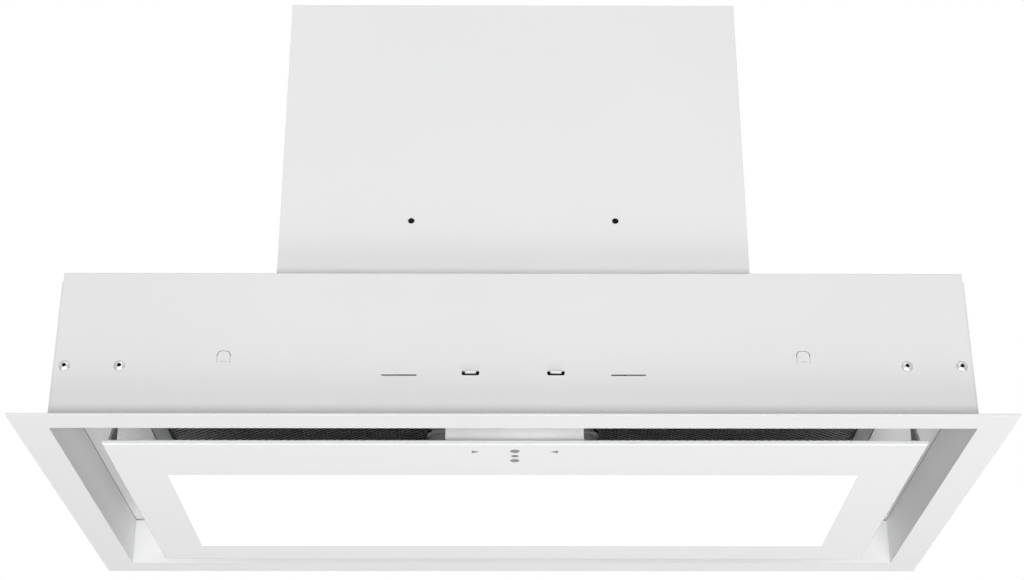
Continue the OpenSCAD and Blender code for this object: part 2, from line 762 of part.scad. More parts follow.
// The motor, its end caps, the shaft and the cooling slots in the rear cap
disc_x = -16;
motor_x0 = disc_x + 12;
module fan_motor() color("silver") {
  difference() {
    union() {
      bar_x(motor_r, [motor_x0 + 3, bracket_x - 14], sc_y, sc_z);
      bar_x(motor_r - 4, [motor_x0, bracket_x - 8], sc_y, sc_z);
      bar_x(motor_r - 10, [motor_x0, bracket_x], sc_y, sc_z);
      for (a = [0:15:345])
        translate([0, sc_y, sc_z]) rotate([a, 0, 0])
          block([motor_x0 + 10, bracket_x - 22], [motor_r - 2, motor_r + 2], [-0.8, 0.8]);
    }
    for (a = [15:30:345])
      translate([0, sc_y, sc_z]) rotate([a, 0, 0])
        block([bracket_x - 16, bracket_x + e], [motor_r - 16, motor_r - 13], [-4, 4]);
  }
  bar_x(shaft_r, [disc_x - 16, motor_x0 + 1], sc_y, sc_z);
}

// Double-inlet impeller: a drum of forward-curved blades on a centre disc and hub
function blade_arc(r0, r1, n) = [for (i = [0:n]) let (s = i / n, r = r0 + (r1 - r0) * s)
  [r * cos(14 * s * s), r * sin(14 * s * s)]];
module blade_outline() {
  n = 5;
  a = blade_arc(impeller_r - blade_depth, impeller_r - 0.5, n);
  polygon(concat(a, [for (i = [n:-1:0]) a[i] + [-blade_t * sin(8 + 40 * i / n) * 0.2, blade_t]]));
}
module impeller() color("gray") {
  w = impeller_w / 2;
  translate([0, sc_y, sc_z]) rotate([90, 0, 90]) difference() {
    union() {
      for (i = [0:blade_count - 1]) rotate([0, 0, i * 360 / blade_count])
        translate([0, 0, -w]) linear_extrude(2 * w) blade_outline();
      for (z = [-w, w - 3]) translate([0, 0, z]) difference() {
        cylinder(r=impeller_r, h=3);
        translate([0, 0, -e]) cylinder(r=impeller_r - 5, h=5);
      }
      translate([0, 0, disc_x]) cylinder(r=impeller_r - 1, h=1.5);
      translate([0, 0, disc_x - 12]) cylinder(r=12, h=20);
      translate([0, 0, disc_x - 5]) cylinder(r=26, h=6);
    }
    translate([0, 0, disc_x - 20]) cylinder(r=shaft_r + run_gap, h=40);
  }
}

// Run capacitor in a spring clip under the deck
cap_x = -cw - foot_w - 45.25;
cap_r = 17;
cap_z = z_top - sheet_t - cap_r - 3;
cap_y = [-85, -20];
clip_y = [-62, -44];
module run_capacitor() color("white") {
  bar_y(cap_r, cap_x, cap_y, cap_z);
  bar_y(4, cap_x, [cap_y[0] - 3, cap_y[0]], cap_z);
  for (s = [-1, 1])
    block([cap_x + s * 6 - 0.4, cap_x + s * 6 + 0.4], [cap_y[1], cap_y[1] + 8], [cap_z - 3, cap_z + 3]);
}
module capacitor_clip() color("silver") {
  z = z_top - sheet_t;
  difference() {
    union() {
      bar_y(cap_r + 1.2, cap_x, clip_y, cap_z);
      block([cap_x - 26, cap_x + 26], clip_y, [z - 1, z]);
      block([cap_x - 12, cap_x + 12], clip_y, [cap_z + 8, z]);
    }
    bar_y(cap_r + 0.2, cap_x, [clip_y[0] - e, clip_y[1] + e], cap_z);
    block([cap_x - 8, cap_x + 8], [clip_y[0] - e, clip_y[1] + e], [cap_z - cap_r - 3, cap_z - 8]);
  }
}

// Moulded box for the power electronics, hung under the deck, with a lid below
board_z = box_z[1] - 11;
lid_boss_r = 4;
module at_lid_screws() {
  for (y = [box_y[0] + 5.5, box_y[1] - 5.5])
    translate([box_x[1] - 5.5, y, box_z[0]]) children();
  translate([box_x[0] + 5.5, (box_y[0] + box_y[1]) / 2, box_z[0]]) children();
}
module power_box() color("gainsboro") {
  difference() {
    block(box_x, box_y, box_z);
    block([box_x[0] + 2, box_x[1] - 2], [box_y[0] + 2, box_y[1] - 2], [box_z[0] - e, box_z[1] - 2]);
    bar_z(gland_body_r + hole_gap, gland_x, gland_y, [box_z[1] - 3, box_z[1] + e]);
  }
  for (x = [box_x[0] + 9, box_x[1] - 34], y = [box_y[0] + 9, box_y[1] - 9])
    bar_z(3, x, y, [board_z, box_z[1] - 1.5]);
  difference() {
    at_lid_screws() bar_z(lid_boss_r, 0, 0, [0, box_h - 1]);
    at_lid_screws() bar_z(shank_hole, 0, 0, [-e, 10]);
  }
}
module power_box_lid() color("gainsboro") {
  difference() {
    block(box_x, box_y, [box_z[0] - 2, box_z[0]]);
    at_lid_screws() bar_z(shank_hole, 0, 0, [-3, e]);
  }
  ring = 2.3;
  difference() {
    block([box_x[0] + ring, box_x[1] - ring], [box_y[0] + ring, box_y[1] - ring],
      [box_z[0] - 0.5, box_z[0] + 2.5]);
    block([box_x[0] + 2 * ring, box_x[1] - 2 * ring], [box_y[0] + 2 * ring, box_y[1] - 2 * ring],
      [box_z[0], box_z[0] + 5]);
    at_lid_screws() bar_z(lid_boss_r + 0.4, 0, 0, [0, 3]);
    at_lid_screws() bar_z(shank_hole, 0, 0, [-e, e]);
  }
}
module lid_screws() color("silver") {
  at_lid_screws() translate([0, 0, -2]) rotate([180, 0, 0]) screw(shank_r, 3, 9);
}

// The power board with its transformer, relays, filter coil and capacitors
module power_board() color("darkgreen") {
  x = box_x[0] + 6;
  y = box_y[0] + 6;
  top = board_z - 1.6;
  difference() {
    block([x - 2, box_x[1] - 28], [y - 2, box_y[1] - 4], [top, board_z]);
    at_lid_screws() bar_z(lid_boss_r + 1, 0, 0, [0, box_h]);
  }
  block([x, x + 24], [y, y + 28], [top - 15.4, top]);
  block([x + 30, x + 42], [y, y + 12], [top - 9.4, top]);
  block([x + 30, x + 50], [y + 20, y + 32], [top - 11.4, top]);
  block([x, x + 14], [y + 42, y + 66], [top - 8.4, top]);
  for (i = [0, 1]) bar_z(4, x + 24 + 12 * i, y + 54, [top - 13.4, top]);
}

// Cable gland through the deck into the power box
module cable_gland() color("dimgray") translate([gland_x, gland_y, z_top]) difference() {
  union() {
    bar_z(gland_body_r, 0, 0, [-7.5, 6]);
    cylinder(r=12, h=5, $fn=6);
    bar_z(gland_body_r + 1.5, 0, 0, [5, 12]);
    translate([0, 0, -sheet_t - 6.4]) cylinder(r=12, h=4.4, $fn=6);
  }
  bar_z(gland_r, 0, 0, [-20, 20]);
}

// Grease filter: channel frame, mesh, rear tabs, handle and latch
fx = filter_w / 2;
module filter_frame() color("silver") {
  z1 = z_ledge + filter_h;
  difference() {
    block([-fx, fx], [-filter_fwd, filter_back], [z_ledge, z1]);
    block([-fx + filter_band, fx - filter_band],
      [-filter_fwd + filter_band, filter_back - filter_band], [z_ledge - e, z1 + e]);
    block([-fx + filter_t, fx - filter_t], [-filter_fwd + filter_t, filter_back - filter_t],
      [z_ledge + filter_t, z1 - filter_t]);
    block([-latch_w / 2 - 0.4, latch_w / 2 + 0.4], [-filter_fwd - e, -filter_fwd + 2],
      [z_ledge + filter_t, latch_z + 1]);
    for (s = [-1, 1])
      block([s * 150 - 10.3, s * 150 + 10.3], [filter_back - 2, filter_back + e],
        [z_ledge + filter_t, latch_z + 1]);
  }
}

mesh_z = [latch_z + 1.1, z_ledge + filter_h - filter_t - 0.1];
module filter_mesh() color("dimgray") {
  x = fx - filter_t - 0.4;
  y0 = -filter_fwd + filter_t + 0.4;
  y1 = filter_back - filter_t - 0.4;
  edge = filter_band + 1;
  nx = floor((x - edge) / mesh_pitch);
  ny = floor((y1 - y0 - 2 * edge) / mesh_pitch);
  side = mesh_pitch / sqrt(2) - mesh_web / 2;
  ym = (y0 + y1) / 2;
  difference() {
    block([-x, x], [y0, y1], mesh_z);
    translate([0, 0, mesh_z[0] - e]) linear_extrude(20) {
      for (i = [-nx:nx], j = [-ny / 2:ny / 2])
        if (abs(ym + j * mesh_pitch + handle_fwd) > handle_w / 2 + mesh_pitch / 2
          || abs(i * mesh_pitch) > handle_l / 2 + mesh_pitch / 2)
          translate([i * mesh_pitch, ym + j * mesh_pitch]) rotate(45) square(side, center=true);
    }
    translate([0, -handle_fwd, mesh_z[0] - e]) linear_extrude(20) oval(handle_l - 1.6, handle_w - 1.6);
  }
}

module filter_tabs() color("silver") {
  for (s = [-1, 1])
    block([s * 150 - 10, s * 150 + 10], [filter_back - 9, filter_back + 8], [latch_z, latch_z + 0.8]);
}

// The oval finger pull: a rim under the mesh and a tub through it
tub_top = z_ledge + filter_h - 1;
module filter_handle() color("gray") {
  translate([0, -handle_fwd, 0]) difference() {
    union() {
      translate([0, 0, z_ledge - 0.3]) linear_extrude(latch_z - 0.1 - z_ledge + 0.3)
        oval(handle_l, handle_w);
      translate([0, 0, z_ledge]) linear_extrude(tub_top - z_ledge)
        oval(handle_l - 2.2, handle_w - 2.2);
    }
    translate([0, 0, z_ledge - e]) linear_extrude(tub_top - z_ledge + e - 1)
      oval(handle_l - 4.6, handle_w - 4.6);
    block([-latch_w / 2 + 5.8, latch_w / 2 - 5.8], [-handle_w, -handle_w / 2 + 4],
      [latch_z - 0.1, latch_z + 1]);
  }
}

// The latch: a plate over the ledge's front edge, pulled by a lip in the tub
module filter_latch() color("silver") {
  z = [latch_z, latch_z + 0.8];
  tip = -filter_fwd - filter_gap - 3.5;
  lip_y = -handle_fwd - handle_w / 2 + 3.4;
  block([-latch_w / 2, latch_w / 2], [tip, -handle_fwd - handle_w / 2 + 0.9 - latch_travel], z);
  block([-latch_w / 2 + 6.5, latch_w / 2 - 6.5], [tip + 5, lip_y], z);
  block([-latch_w / 2 + 6.5, latch_w / 2 - 6.5], [lip_y - 0.9, lip_y], [latch_z, latch_z + 4.2]);
}

// Hinges of the glass panel: bases under the ledge, pins, and leaves on the panel
ear_x = 8;
hinge_rivet_y = hinge_y + 12;
hinge_rivet_xs = [-hinge_x - 9, -hinge_x + 9, hinge_x - 9, hinge_x + 9];
module hinge_bases() color("silver") {
  for (s = [-1, 1]) translate([s * hinge_x, 0, 0]) difference() {
    union() {
      block([-15, 15], [hinge_y - 8, hinge_y + 17], [z_ledge - 1.5, z_ledge]);
      for (x = [-ear_x - 2, ear_x]) {
        block([x, x + 2], [hinge_y - 5, hinge_y + 5], [hinge_z, z_ledge]);
        bar_x(5, [x, x + 2], hinge_y, hinge_z);
      }
    }
    bar_x(pin_r + run_gap, [-20, 20], hinge_y, hinge_z);
    for (x = [-9, 9]) bar_z(shank_hole, x, hinge_rivet_y, [z_ledge - 2, z_ledge + e]);
  }
}
module hinge_rivets() color("silver") {
  for (x = hinge_rivet_xs)
    translate([x, hinge_rivet_y, z_ledge - 1.5]) rotate([180, 0, 0]) rivet(1.5 + sheet_t);
}
module hinge_pins() color("silver") {
  for (s = [-1, 1]) {
    bar_x(pin_r, [s * hinge_x - ear_x - 3.2, s * hinge_x + ear_x + 3.2], hinge_y, hinge_z);
    bar_x(pin_r + 1.2, [s * hinge_x + ear_x + 2.2, s * hinge_x + ear_x + 3.4], hinge_y, hinge_z);
    bar_x(pin_r + 1.2, [s * hinge_x - ear_x - 3.4, s * hinge_x - ear_x - 2.2], hinge_y, hinge_z);
  }
}
plate_z = [glass_t, glass_t + 1];
module hinge_leaves() color("silver") {
  k = ear_x - 0.4;
  for (s = [-1, 1]) translate([s * hinge_x, 0, 0]) difference() {
    union() {
      bar_x(4.5, [-k, k], hinge_y, hinge_z);
      block([-k, k], [hinge_y + 2, hinge_y + 4], [plate_z[1], hinge_z]);
      block([-k, k], [hinge_y - 16, hinge_y + 4], [plate_z[1], plate_z[1] + 1.5]);
      for (x = [-k, k - 1.5])
        translate([x, 0, 0]) rotate([90, 0, 90]) linear_extrude(1.5)
          polygon([[hinge_y + 3, plate_z[1] + 1], [hinge_y + 3, hinge_z], [hinge_y - 3, hinge_z],
            [hinge_y - 14, plate_z[1] + 1]]);
    }
    bar_x(pin_r + run_gap, [-20, 20], hinge_y, hinge_z);
  }
}

// The panel's steel frame, bonded to the glass around the light tray
tray_x = window_w / 2 + 6;
tray_y = window_d / 2 + 5;
frame_x = catch_x + 2;
frame_y0 = -glass_d / 2 + 6.75;
frame_y1 = hinge_y + 4.2;
module panel_frame() color("silver") {
  difference() {
    union() {
      block([-frame_x, frame_x], [frame_y0, frame_y1], plate_z);
      for (s = [-1, 1])
        block([s > 0 ? frame_x - 1 : -frame_x, s > 0 ? frame_x : 1 - frame_x],
          [-90, frame_y1], [plate_z[0], plate_z[0] + 6]);
      block([-hinge_x + 18, hinge_x - 18], [frame_y1 - 1, frame_y1], [plate_z[0], plate_z[0] + 7]);
    }
    block([-tray_x - 0.3, tray_x + 0.3], [window_y - tray_y - 0.3, window_y + tray_y + 0.3],
      [plate_z[0] - e, plate_z[1] + 8]);
    block([panel_x - control_w / 2 - 0.3, panel_x + control_w / 2 + 0.3],
      [frame_y0 - e, control_y[1] + 4], [plate_z[0] - e, 20]);
  }
}

// White glass with chamfered edges
module glass_pane() color("white") translate([glass_x, 0, 0]) {
  c = glass_chamfer;
  w = glass_w / 2;
  d = glass_d / 2;
  intersection() {
    rotate([90, 0, 90]) translate([0, 0, -w]) linear_extrude(2 * w)
      polygon([[-d + c, 0], [d - c, 0], [d, c], [d, glass_t - c], [d - c, glass_t],
        [-d + c, glass_t], [-d, glass_t - c], [-d, c]]);
    translate([0, d, 0]) rotate([90, 0, 0]) linear_extrude(2 * d)
      polygon([[-w + c, 0], [w - c, 0], [w, c], [w, glass_t - c], [w - c, glass_t],
        [-w + c, glass_t], [-w, glass_t - c], [-w, c]]);
  }
}

// Opal sheet behind the light window, under a white reflector tray with two LED boards
module light_diffuser() color("white") {
  block([-tray_x + 1.2, tray_x - 1.2], [window_y - tray_y + 1.2, window_y + tray_y - 1.2],
    [glass_t, glass_t + 2]);
}
module light_tray() color("white") {
  z1 = glass_t + tray_h;
  difference() {
    block([-tray_x, tray_x], [window_y - tray_y, window_y + tray_y], [glass_t, z1]);
    block([-tray_x + 1, tray_x - 1], [window_y - tray_y + 1, window_y + tray_y - 1],
      [glass_t - e, z1 - 1]);
  }
}
module led_boards() color("lightyellow") {
  z1 = glass_t + tray_h - 1;
  for (s = [-1, 1]) {
    y = window_y + s * (tray_y - 6);
    block([-tray_x + 6, tray_x - 6], [y - 4, y + 4], [z1 - 1.2, z1]);
    for (x = [-200:25:200]) block([x - 1.75, x + 1.75], [y - 1.4, y + 1.4], [z1 - 2, z1 - 1.1]);
  }
}

// Touch-control housing behind the front edge of the glass, with its board
control_y = [-110, -70];
touch_ys = [-106.8, -98.1, -90];
module control_housing() color("white") translate([panel_x, 0, 0]) {
  w = control_w / 2;
  z1 = glass_t + control_h;
  difference() {
    block([-w, w], control_y, [glass_t, z1]);
    block([-w + 1.6, w - 1.6], [control_y[0] + 1.6, control_y[1] - 1.6], [glass_t - e, z1 - 1.6]);
    bar_y(3, w - 14, [control_y[1] - 4, control_y[1] + e], glass_t + 10);
  }
  for (s = [-1, 1]) difference() {
    block([s > 0 ? w - 1 : -w - 9, s > 0 ? w + 9 : 1 - w], [-98, -84], [plate_z[1], plate_z[1] + 2]);
    bar_z(1.6, s * (w + 4.5), -91, [plate_z[1] - e, plate_z[1] + 4]);
  }
}
module control_board() color("darkgreen") translate([panel_x, 0, 0]) {
  w = control_w / 2 - 2;
  top = glass_t + 1.6;
  block([-w, w], [control_y[0] + 2, control_y[1] - 2], [glass_t, top]);
  for (y = touch_ys) bar_z(1.1, 0, y, [glass_t + 1, top + 2.4]);
  for (s = [-1, 1]) bar_z(1.5, s * 25, touch_ys[0] + 2, [glass_t + 1, top + 1.2]);
  block([-w + 6, -w + 18], [-86, -76], [glass_t + 1, top + 2.9]);
  block([w - 22, w - 6], [-82, -76], [glass_t + 1, top + 6.4]);
}

// Catch posts on the panel's front corners, each a plate with a sloping front edge and a
// ball on top, and the spring clips above the ledge
ball_z = z_ledge + 4.6;
post_t = 1.5;
post_foot = 12;
post_back = 4.6;
neck_w = 3;
module catch_posts() color("dimgray") {
  foot_end = frame_y0 + catch_fwd;
  for (s = [-1, 1]) translate([panel_x + s * catch_x, -catch_fwd, 0]) {
    translate([-post_t / 2, 0, 0]) rotate([90, 0, 90]) linear_extrude(post_t)
      polygon([[-post_foot, glass_t], [foot_end, glass_t], [foot_end, plate_z[1]],
        [post_back, plate_z[1]], [post_back, z_ledge - 2], [-neck_w, z_ledge - 2],
        [-neck_w, glass_t + 15], [-6.6, glass_t + 8], [-post_foot, glass_t + 1.2]]);
    bar_z(2.4, 0, 0, [z_ledge - 2.5, ball_z]);
    translate([0, 0, ball_z]) sphere(r=ball_r, $fn=64);
  }
}
module catch_clips() color("silver") {
  z0 = z_ledge + sheet_t;
  g = ball_r + 0.3;
  for (s = [-1, 1]) translate([panel_x + s * catch_x, -catch_fwd, 0]) {
    for (t = [-1, 1])
      scale([t, 1, 1]) block([g, g + 0.8], [-6, 6], [z0, z0 + 11]);
    block([-g - 0.8, g + 0.8], [-6, 6], [z0 + 10.2, z0 + 11]);
    for (t = [-1, 1]) scale([t, 1, 1]) block([g, g + 6.5], [-6, 6], [z0, z0 + 0.8]);
  }
}

trim_frame();
front_sheet();
back_sheet();
side_sheet_left();
side_sheet_right();
filter_ledge();
top_deck();
body_rivets();
chimney_shell();
chimney_back();
chimney_top();
chimney_rivets();
outlet_collar();
outlet_screws();
damper_axle();
damper_flap_left();
damper_flap_right();
transition_duct();
scroll_left();
scroll_right();
scroll_screws();
duct_screws();
blower_brackets();
bracket_screws();
motor_bracket();
motor_grommets();
motor_screws();
fan_motor();
impeller();
run_capacitor();
capacitor_clip();
power_box();
power_box_lid();
lid_screws();
power_board();
cable_gland();
filter_frame();
filter_mesh();
filter_tabs();
filter_handle();
filter_latch();
hinge_bases();
hinge_rivets();
hinge_pins();
catch_clips();
hinge_leaves();
panel_frame();
glass_pane();
light_diffuser();
light_tray();
led_boards();
control_housing();
control_board();
catch_posts();
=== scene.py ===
"""Studio scene of a built-in range hood insert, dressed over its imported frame."""

from __future__ import annotations

import logging
import math
from dataclasses import dataclass, field
from enum import Enum
from typing import NamedTuple, Protocol, Sequence

import bpy
from mathutils import Matrix, Vector

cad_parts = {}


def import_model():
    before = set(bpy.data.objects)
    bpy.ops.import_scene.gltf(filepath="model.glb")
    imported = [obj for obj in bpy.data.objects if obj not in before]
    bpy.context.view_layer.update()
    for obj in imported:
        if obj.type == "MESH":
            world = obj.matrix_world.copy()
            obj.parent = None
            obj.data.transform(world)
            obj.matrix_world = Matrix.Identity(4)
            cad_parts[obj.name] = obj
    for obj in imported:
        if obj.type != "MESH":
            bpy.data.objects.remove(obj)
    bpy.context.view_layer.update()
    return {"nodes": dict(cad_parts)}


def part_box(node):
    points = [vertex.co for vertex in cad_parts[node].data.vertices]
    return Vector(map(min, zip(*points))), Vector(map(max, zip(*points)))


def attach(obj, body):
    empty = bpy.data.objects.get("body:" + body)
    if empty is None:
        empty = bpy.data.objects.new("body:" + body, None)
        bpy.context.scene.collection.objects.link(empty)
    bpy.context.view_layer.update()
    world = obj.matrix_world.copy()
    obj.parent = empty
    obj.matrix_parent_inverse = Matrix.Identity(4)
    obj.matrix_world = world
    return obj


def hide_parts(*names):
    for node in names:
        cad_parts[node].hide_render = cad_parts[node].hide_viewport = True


LOG = logging.getLogger("hood_insert")

Colour = tuple[float, float, float]
Point = tuple[float, float, float]
Point2 = tuple[float, float]


# Shader graph


class Value:
    """A shader socket that does its maths with Python operators."""

    def __init__(self, graph: "Graph", socket: bpy.types.NodeSocket) -> None:
        """Wraps a socket.

        Args:
            graph: The graph that the socket belongs to.
            socket: The output socket of a node.
        """
        self.graph = graph
        self.socket = socket

    def _math(self, operation: str, *others: "Value | float", flip: bool = False) -> "Value":
        """Adds a Math node.

        Args:
            operation: The Math node's operation.
            others: The further operands.
            flip: Whether the operands change places.

        Returns:
            The node's result.
        """
        args: tuple[Value | float, ...] = (self, *others)
        if flip:
            args = tuple(reversed(args))
        return self.graph.add("ShaderNodeMath", {"operation": operation}, dict(enumerate(args)))

    def __add__(self, other: "Value | float") -> "Value":
        """Sum of two values."""
        return self._math("ADD", other)

    __radd__ = __add__

    def __sub__(self, other: "Value | float") -> "Value":
        """Difference of two values."""
        return self._math("SUBTRACT", other)

    def __rsub__(self, other: "Value | float") -> "Value":
        """Difference with the operands the other way round."""
        return self._math("SUBTRACT", other, flip=True)

    def __mul__(self, other: "Value | float") -> "Value":
        """Product of two values."""
        return self._math("MULTIPLY", other)

    __rmul__ = __mul__

    def __truediv__(self, other: "Value | float") -> "Value":
        """Quotient of two values."""
        return self._math("DIVIDE", other)

    def __gt__(self, other: "Value | float") -> "Value":
        """One where this value is greater than the other."""
        return self._math("GREATER_THAN", other)

    def __abs__(self) -> "Value":
        """Absolute value."""
        return self._math("ABSOLUTE")

    def most(self, other: "Value | float") -> "Value":
        """The greater of two values."""
        return self._math("MAXIMUM", other)

    def root(self) -> "Value":
        """Square root."""
        return self._math("SQRT")

    def wave(self) -> "Value":
        """Sine."""
        return self._math("SINE")

    def ramp(self, low: float, high: float, to_low: float = 0.0, to_high: float = 1.0) -> "Value":
        """Maps a range of this value smoothly onto another range.

        Args:
            low: Value at which the result is to_low.
            high: Value at which the result is to_high.
            to_low: Result at and below low.
            to_high: Result at and above high.

        Returns:
            The mapped value.
        """
        return self.graph.add(
            "ShaderNodeMapRange",
            {"interpolation_type": "SMOOTHSTEP", "clamp": True},
            {0: self, 1: low, 2: high, 3: to_low, 4: to_high},
        )


class Graph:
    """The node graph of one material."""

    def __init__(self, name: str) -> None:
        """Starts an empty material.

        Args:
            name: The material's name.
        """
        self.material = bpy.data.materials.new(name)
        self.material.use_nodes = True
        self.tree = self.material.node_tree
        self.tree.nodes.clear()

    def add(
        self,
        kind: str,
        settings: dict[str, object] | None = None,
        inputs: dict[int | str, "Value | object"] | None = None,
        output: int | str = 0,
    ) -> Value:
        """Adds any node.

        Args:
            kind: The node's type.
            settings: Attributes of the node, set first; "stops" holds a colour ramp's stops.
            inputs: Values or links by the input's index or name.
            output: The output that is returned.

        Returns:
            The chosen output.
        """
        node = self.tree.nodes.new(kind)
        for key, setting in (settings or {}).items():
            if key == "stops":
                self._set_stops(node, setting)
            else:
                setattr(node, key, setting)
        for key, value in (inputs or {}).items():
            if isinstance(value, Value):
                self.tree.links.new(value.socket, node.inputs[key])
            else:
                node.inputs[key].default_value = value
        return Value(self, node.outputs[output] if len(node.outputs) else None)

    @staticmethod
    def _set_stops(node: bpy.types.Node, stops: object) -> None:
        """Sets a colour ramp's stops.

        Args:
            node: The Color Ramp node.
            stops: Pairs of position and colour.
        """
        elements = node.color_ramp.elements
        while len(elements) < len(stops):
            elements.new(1.0)
        for element, (position, colour) in zip(elements, stops):
            element.position = position
            element.color = (*colour, 1.0)

    def place(self) -> Value:
        """Position on the object, in metres."""
        return self.add("ShaderNodeTexCoord", output="Object")

    def axes(self, vector: Value) -> tuple[Value, Value, Value]:
        """Splits a vector.

        Args:
            vector: The vector.

        Returns:
            Its three components.
        """
        node = self.tree.nodes.new("ShaderNodeSeparateXYZ")
        self.tree.links.new(vector.socket, node.inputs[0])
        return tuple(Value(self, out) for out in node.outputs)

    def stretch(self, vector: Value, scale: Point) -> Value:
        """Scales a vector along each axis.

        Args:
            vector: The vector.
            scale: The factors.

        Returns:
            The scaled vector.
        """
        return self.add("ShaderNodeVectorMath", {"operation": "MULTIPLY"}, {0: vector, 1: scale})

    def noise(self, vector: Value, scale: float, detail: float = 2.0, rough: float = 0.5) -> Value:
        """Noise between 0 and 1.

        Args:
            vector: Where it is read.
            scale: Its frequency, per metre.
            detail: Its octaves.
            rough: How strong the finer octaves are.

        Returns:
            The noise.
        """
        return self.add(
            "ShaderNodeTexNoise",
            {},
            {"Vector": vector, "Scale": scale, "Detail": detail, "Roughness": rough},
        )

    def cells(self, vector: Value, scale: float) -> Value:
        """Distance to the nearest point of a cell pattern.

        Args:
            vector: Where it is read.
            scale: Its frequency, per metre.

        Returns:
            The distance.
        """
        return self.add("ShaderNodeTexVoronoi", {}, {"Vector": vector, "Scale": scale})

    def mix(self, factor: Value | float, low: Value | Colour, high: Value | Colour) -> Value:
        """Mixes two colours.

        Args:
            factor: The share of the second colour.
            low: The first colour.
            high: The second colour.

        Returns:
            The mixed colour.
        """
        a = low if isinstance(low, Value) else (*low, 1.0)
        b = high if isinstance(high, Value) else (*high, 1.0)
        return self.add("ShaderNodeMix", {"data_type": "RGBA"}, {0: factor, 6: a, 7: b}, output=2)

    def relief(self, height: Value, depth: float, edge: float = 0.0) -> Value:
        """A normal with relief on it and, with an edge, softly rounded corners.

        Args:
            height: The relief, between 0 and 1.
            depth: Its depth in metres.
            edge: Radius of the rounded corners in metres.

        Returns:
            The normal.
        """
        inputs: dict[int | str, Value | object] = {"Height": height, "Distance": depth, "Strength": 1.0}
        if edge > 0:
            inputs["Normal"] = self.add("ShaderNodeBevel", {"samples": 6}, {"Radius": edge})
        return self.add("ShaderNodeBump", {}, inputs)

    def finish(self, **sockets: "Value | object") -> bpy.types.Material:
        """Closes the material with a Principled shader.

        Args:
            sockets: Its inputs, with underscores for blanks.

        Returns:
            The material.
        """
        inputs = {key.replace("_", " "): value for key, value in sockets.items()}
        shader = self.add("ShaderNodeBsdfPrincipled", {}, inputs)
        self.add("ShaderNodeOutputMaterial", {}, {"Surface": shader})
        return self.material


# Finishes


class Finish(Protocol):
    """Anything that can make a material."""

    name: str

    def material(self) -> bpy.types.Material:
        """Makes the material."""


@dataclass(frozen=True)
class Tuck:
    """Where the underside of a tab lies in shadow, behind a place along Y."""

    y: float
    z: float
    blur: float = 0.0002

    def mask(self, y: Value, z: Value) -> Value:
        """One in the shadow, and zero outside it.

        Args:
            y: Place along Y.
            z: Place along Z.

        Returns:
            The mask.
        """
        behind = y.ramp(self.y - self.blur, self.y + self.blur)
        above = z.ramp(self.z - 2 * self.blur, self.z - self.blur)
        below = z.ramp(self.z + self.blur / 2, self.z + 1.5 * self.blur, 1.0, 0.0)
        return behind * above * below


@dataclass(frozen=True)
class Enamel:
    """Powder-coated sheet with a fine orange peel, and shadowed where a seam closes it."""

    name: str = "white_enamel"
    colour: Colour = (0.875, 0.877, 0.88)
    roughness: float = 0.38
    peel_scale: float = 900.0
    peel_depth: float = 0.000012
    edge: float = 0.0005
    seam_z: float | None = None
    seam_band: Point2 = (-0.0013, -0.0004)
    seam_colour: Colour = (0.30, 0.30, 0.30)
    tuck: Tuck | None = None
    tuck_colour: Colour = (0.03, 0.03, 0.03)

    def material(self) -> bpy.types.Material:
        """Makes the material.

        Returns:
            The material.
        """
        g = Graph(self.name)
        place = g.place()
        cloud = g.noise(place, scale=5.0, detail=3.0)
        peel = g.noise(place, scale=self.peel_scale, detail=3.0, rough=0.6)
        darker = tuple(c * 0.975 for c in self.colour)
        coat = g.mix(cloud.ramp(0.3, 0.7), darker, self.colour)
        if self.seam_z is not None:
            start, full = (self.seam_z + offset for offset in self.seam_band)
            coat = g.mix(g.axes(place)[2].ramp(start, full), coat, self.seam_colour)
        if self.tuck is not None:
            coat = g.mix(self.tuck.mask(*g.axes(place)[1:]), coat, self.tuck_colour)
        return g.finish(
            Base_Color=coat,
            Roughness=self.roughness + 0.05 * g.noise(place, scale=40.0, detail=2.0),
            Normal=g.relief(peel, self.peel_depth, self.edge),
            Specular_IOR_Level=0.45,
        )


class Grain(Enum):
    """Direction of the working marks on metal."""

    ALONG_X = (12.0, 900.0, 900.0)
    ALONG_Y = (900.0, 12.0, 900.0)
    NONE = (220.0, 220.0, 220.0)


@dataclass(frozen=True)
class Metal:
    """Bare or plated metal with fine working marks and a cloudy sheen."""

    name: str
    colour: Colour
    roughness: float = 0.32
    grain: Grain = Grain.NONE
    grain_depth: float = 0.00001
    edge: float = 0.0003

    def material(self) -> bpy.types.Material:
        """Makes the material.

        Returns:
            The material.
        """
        g = Graph(self.name)
        place = g.place()
        marks = g.noise(g.stretch(place, self.grain.value), scale=1.0, detail=3.0, rough=0.6)
        cloud = g.noise(place, scale=30.0, detail=4.0)
        dull = tuple(c * 0.78 for c in self.colour)
        return g.finish(
            Base_Color=g.mix(marks.ramp(0.25, 0.75), dull, self.colour),
            Metallic=1.0,
            Roughness=self.roughness + 0.16 * marks + 0.08 * cloud - 0.1,
            Normal=g.relief(marks, self.grain_depth, self.edge),
        )


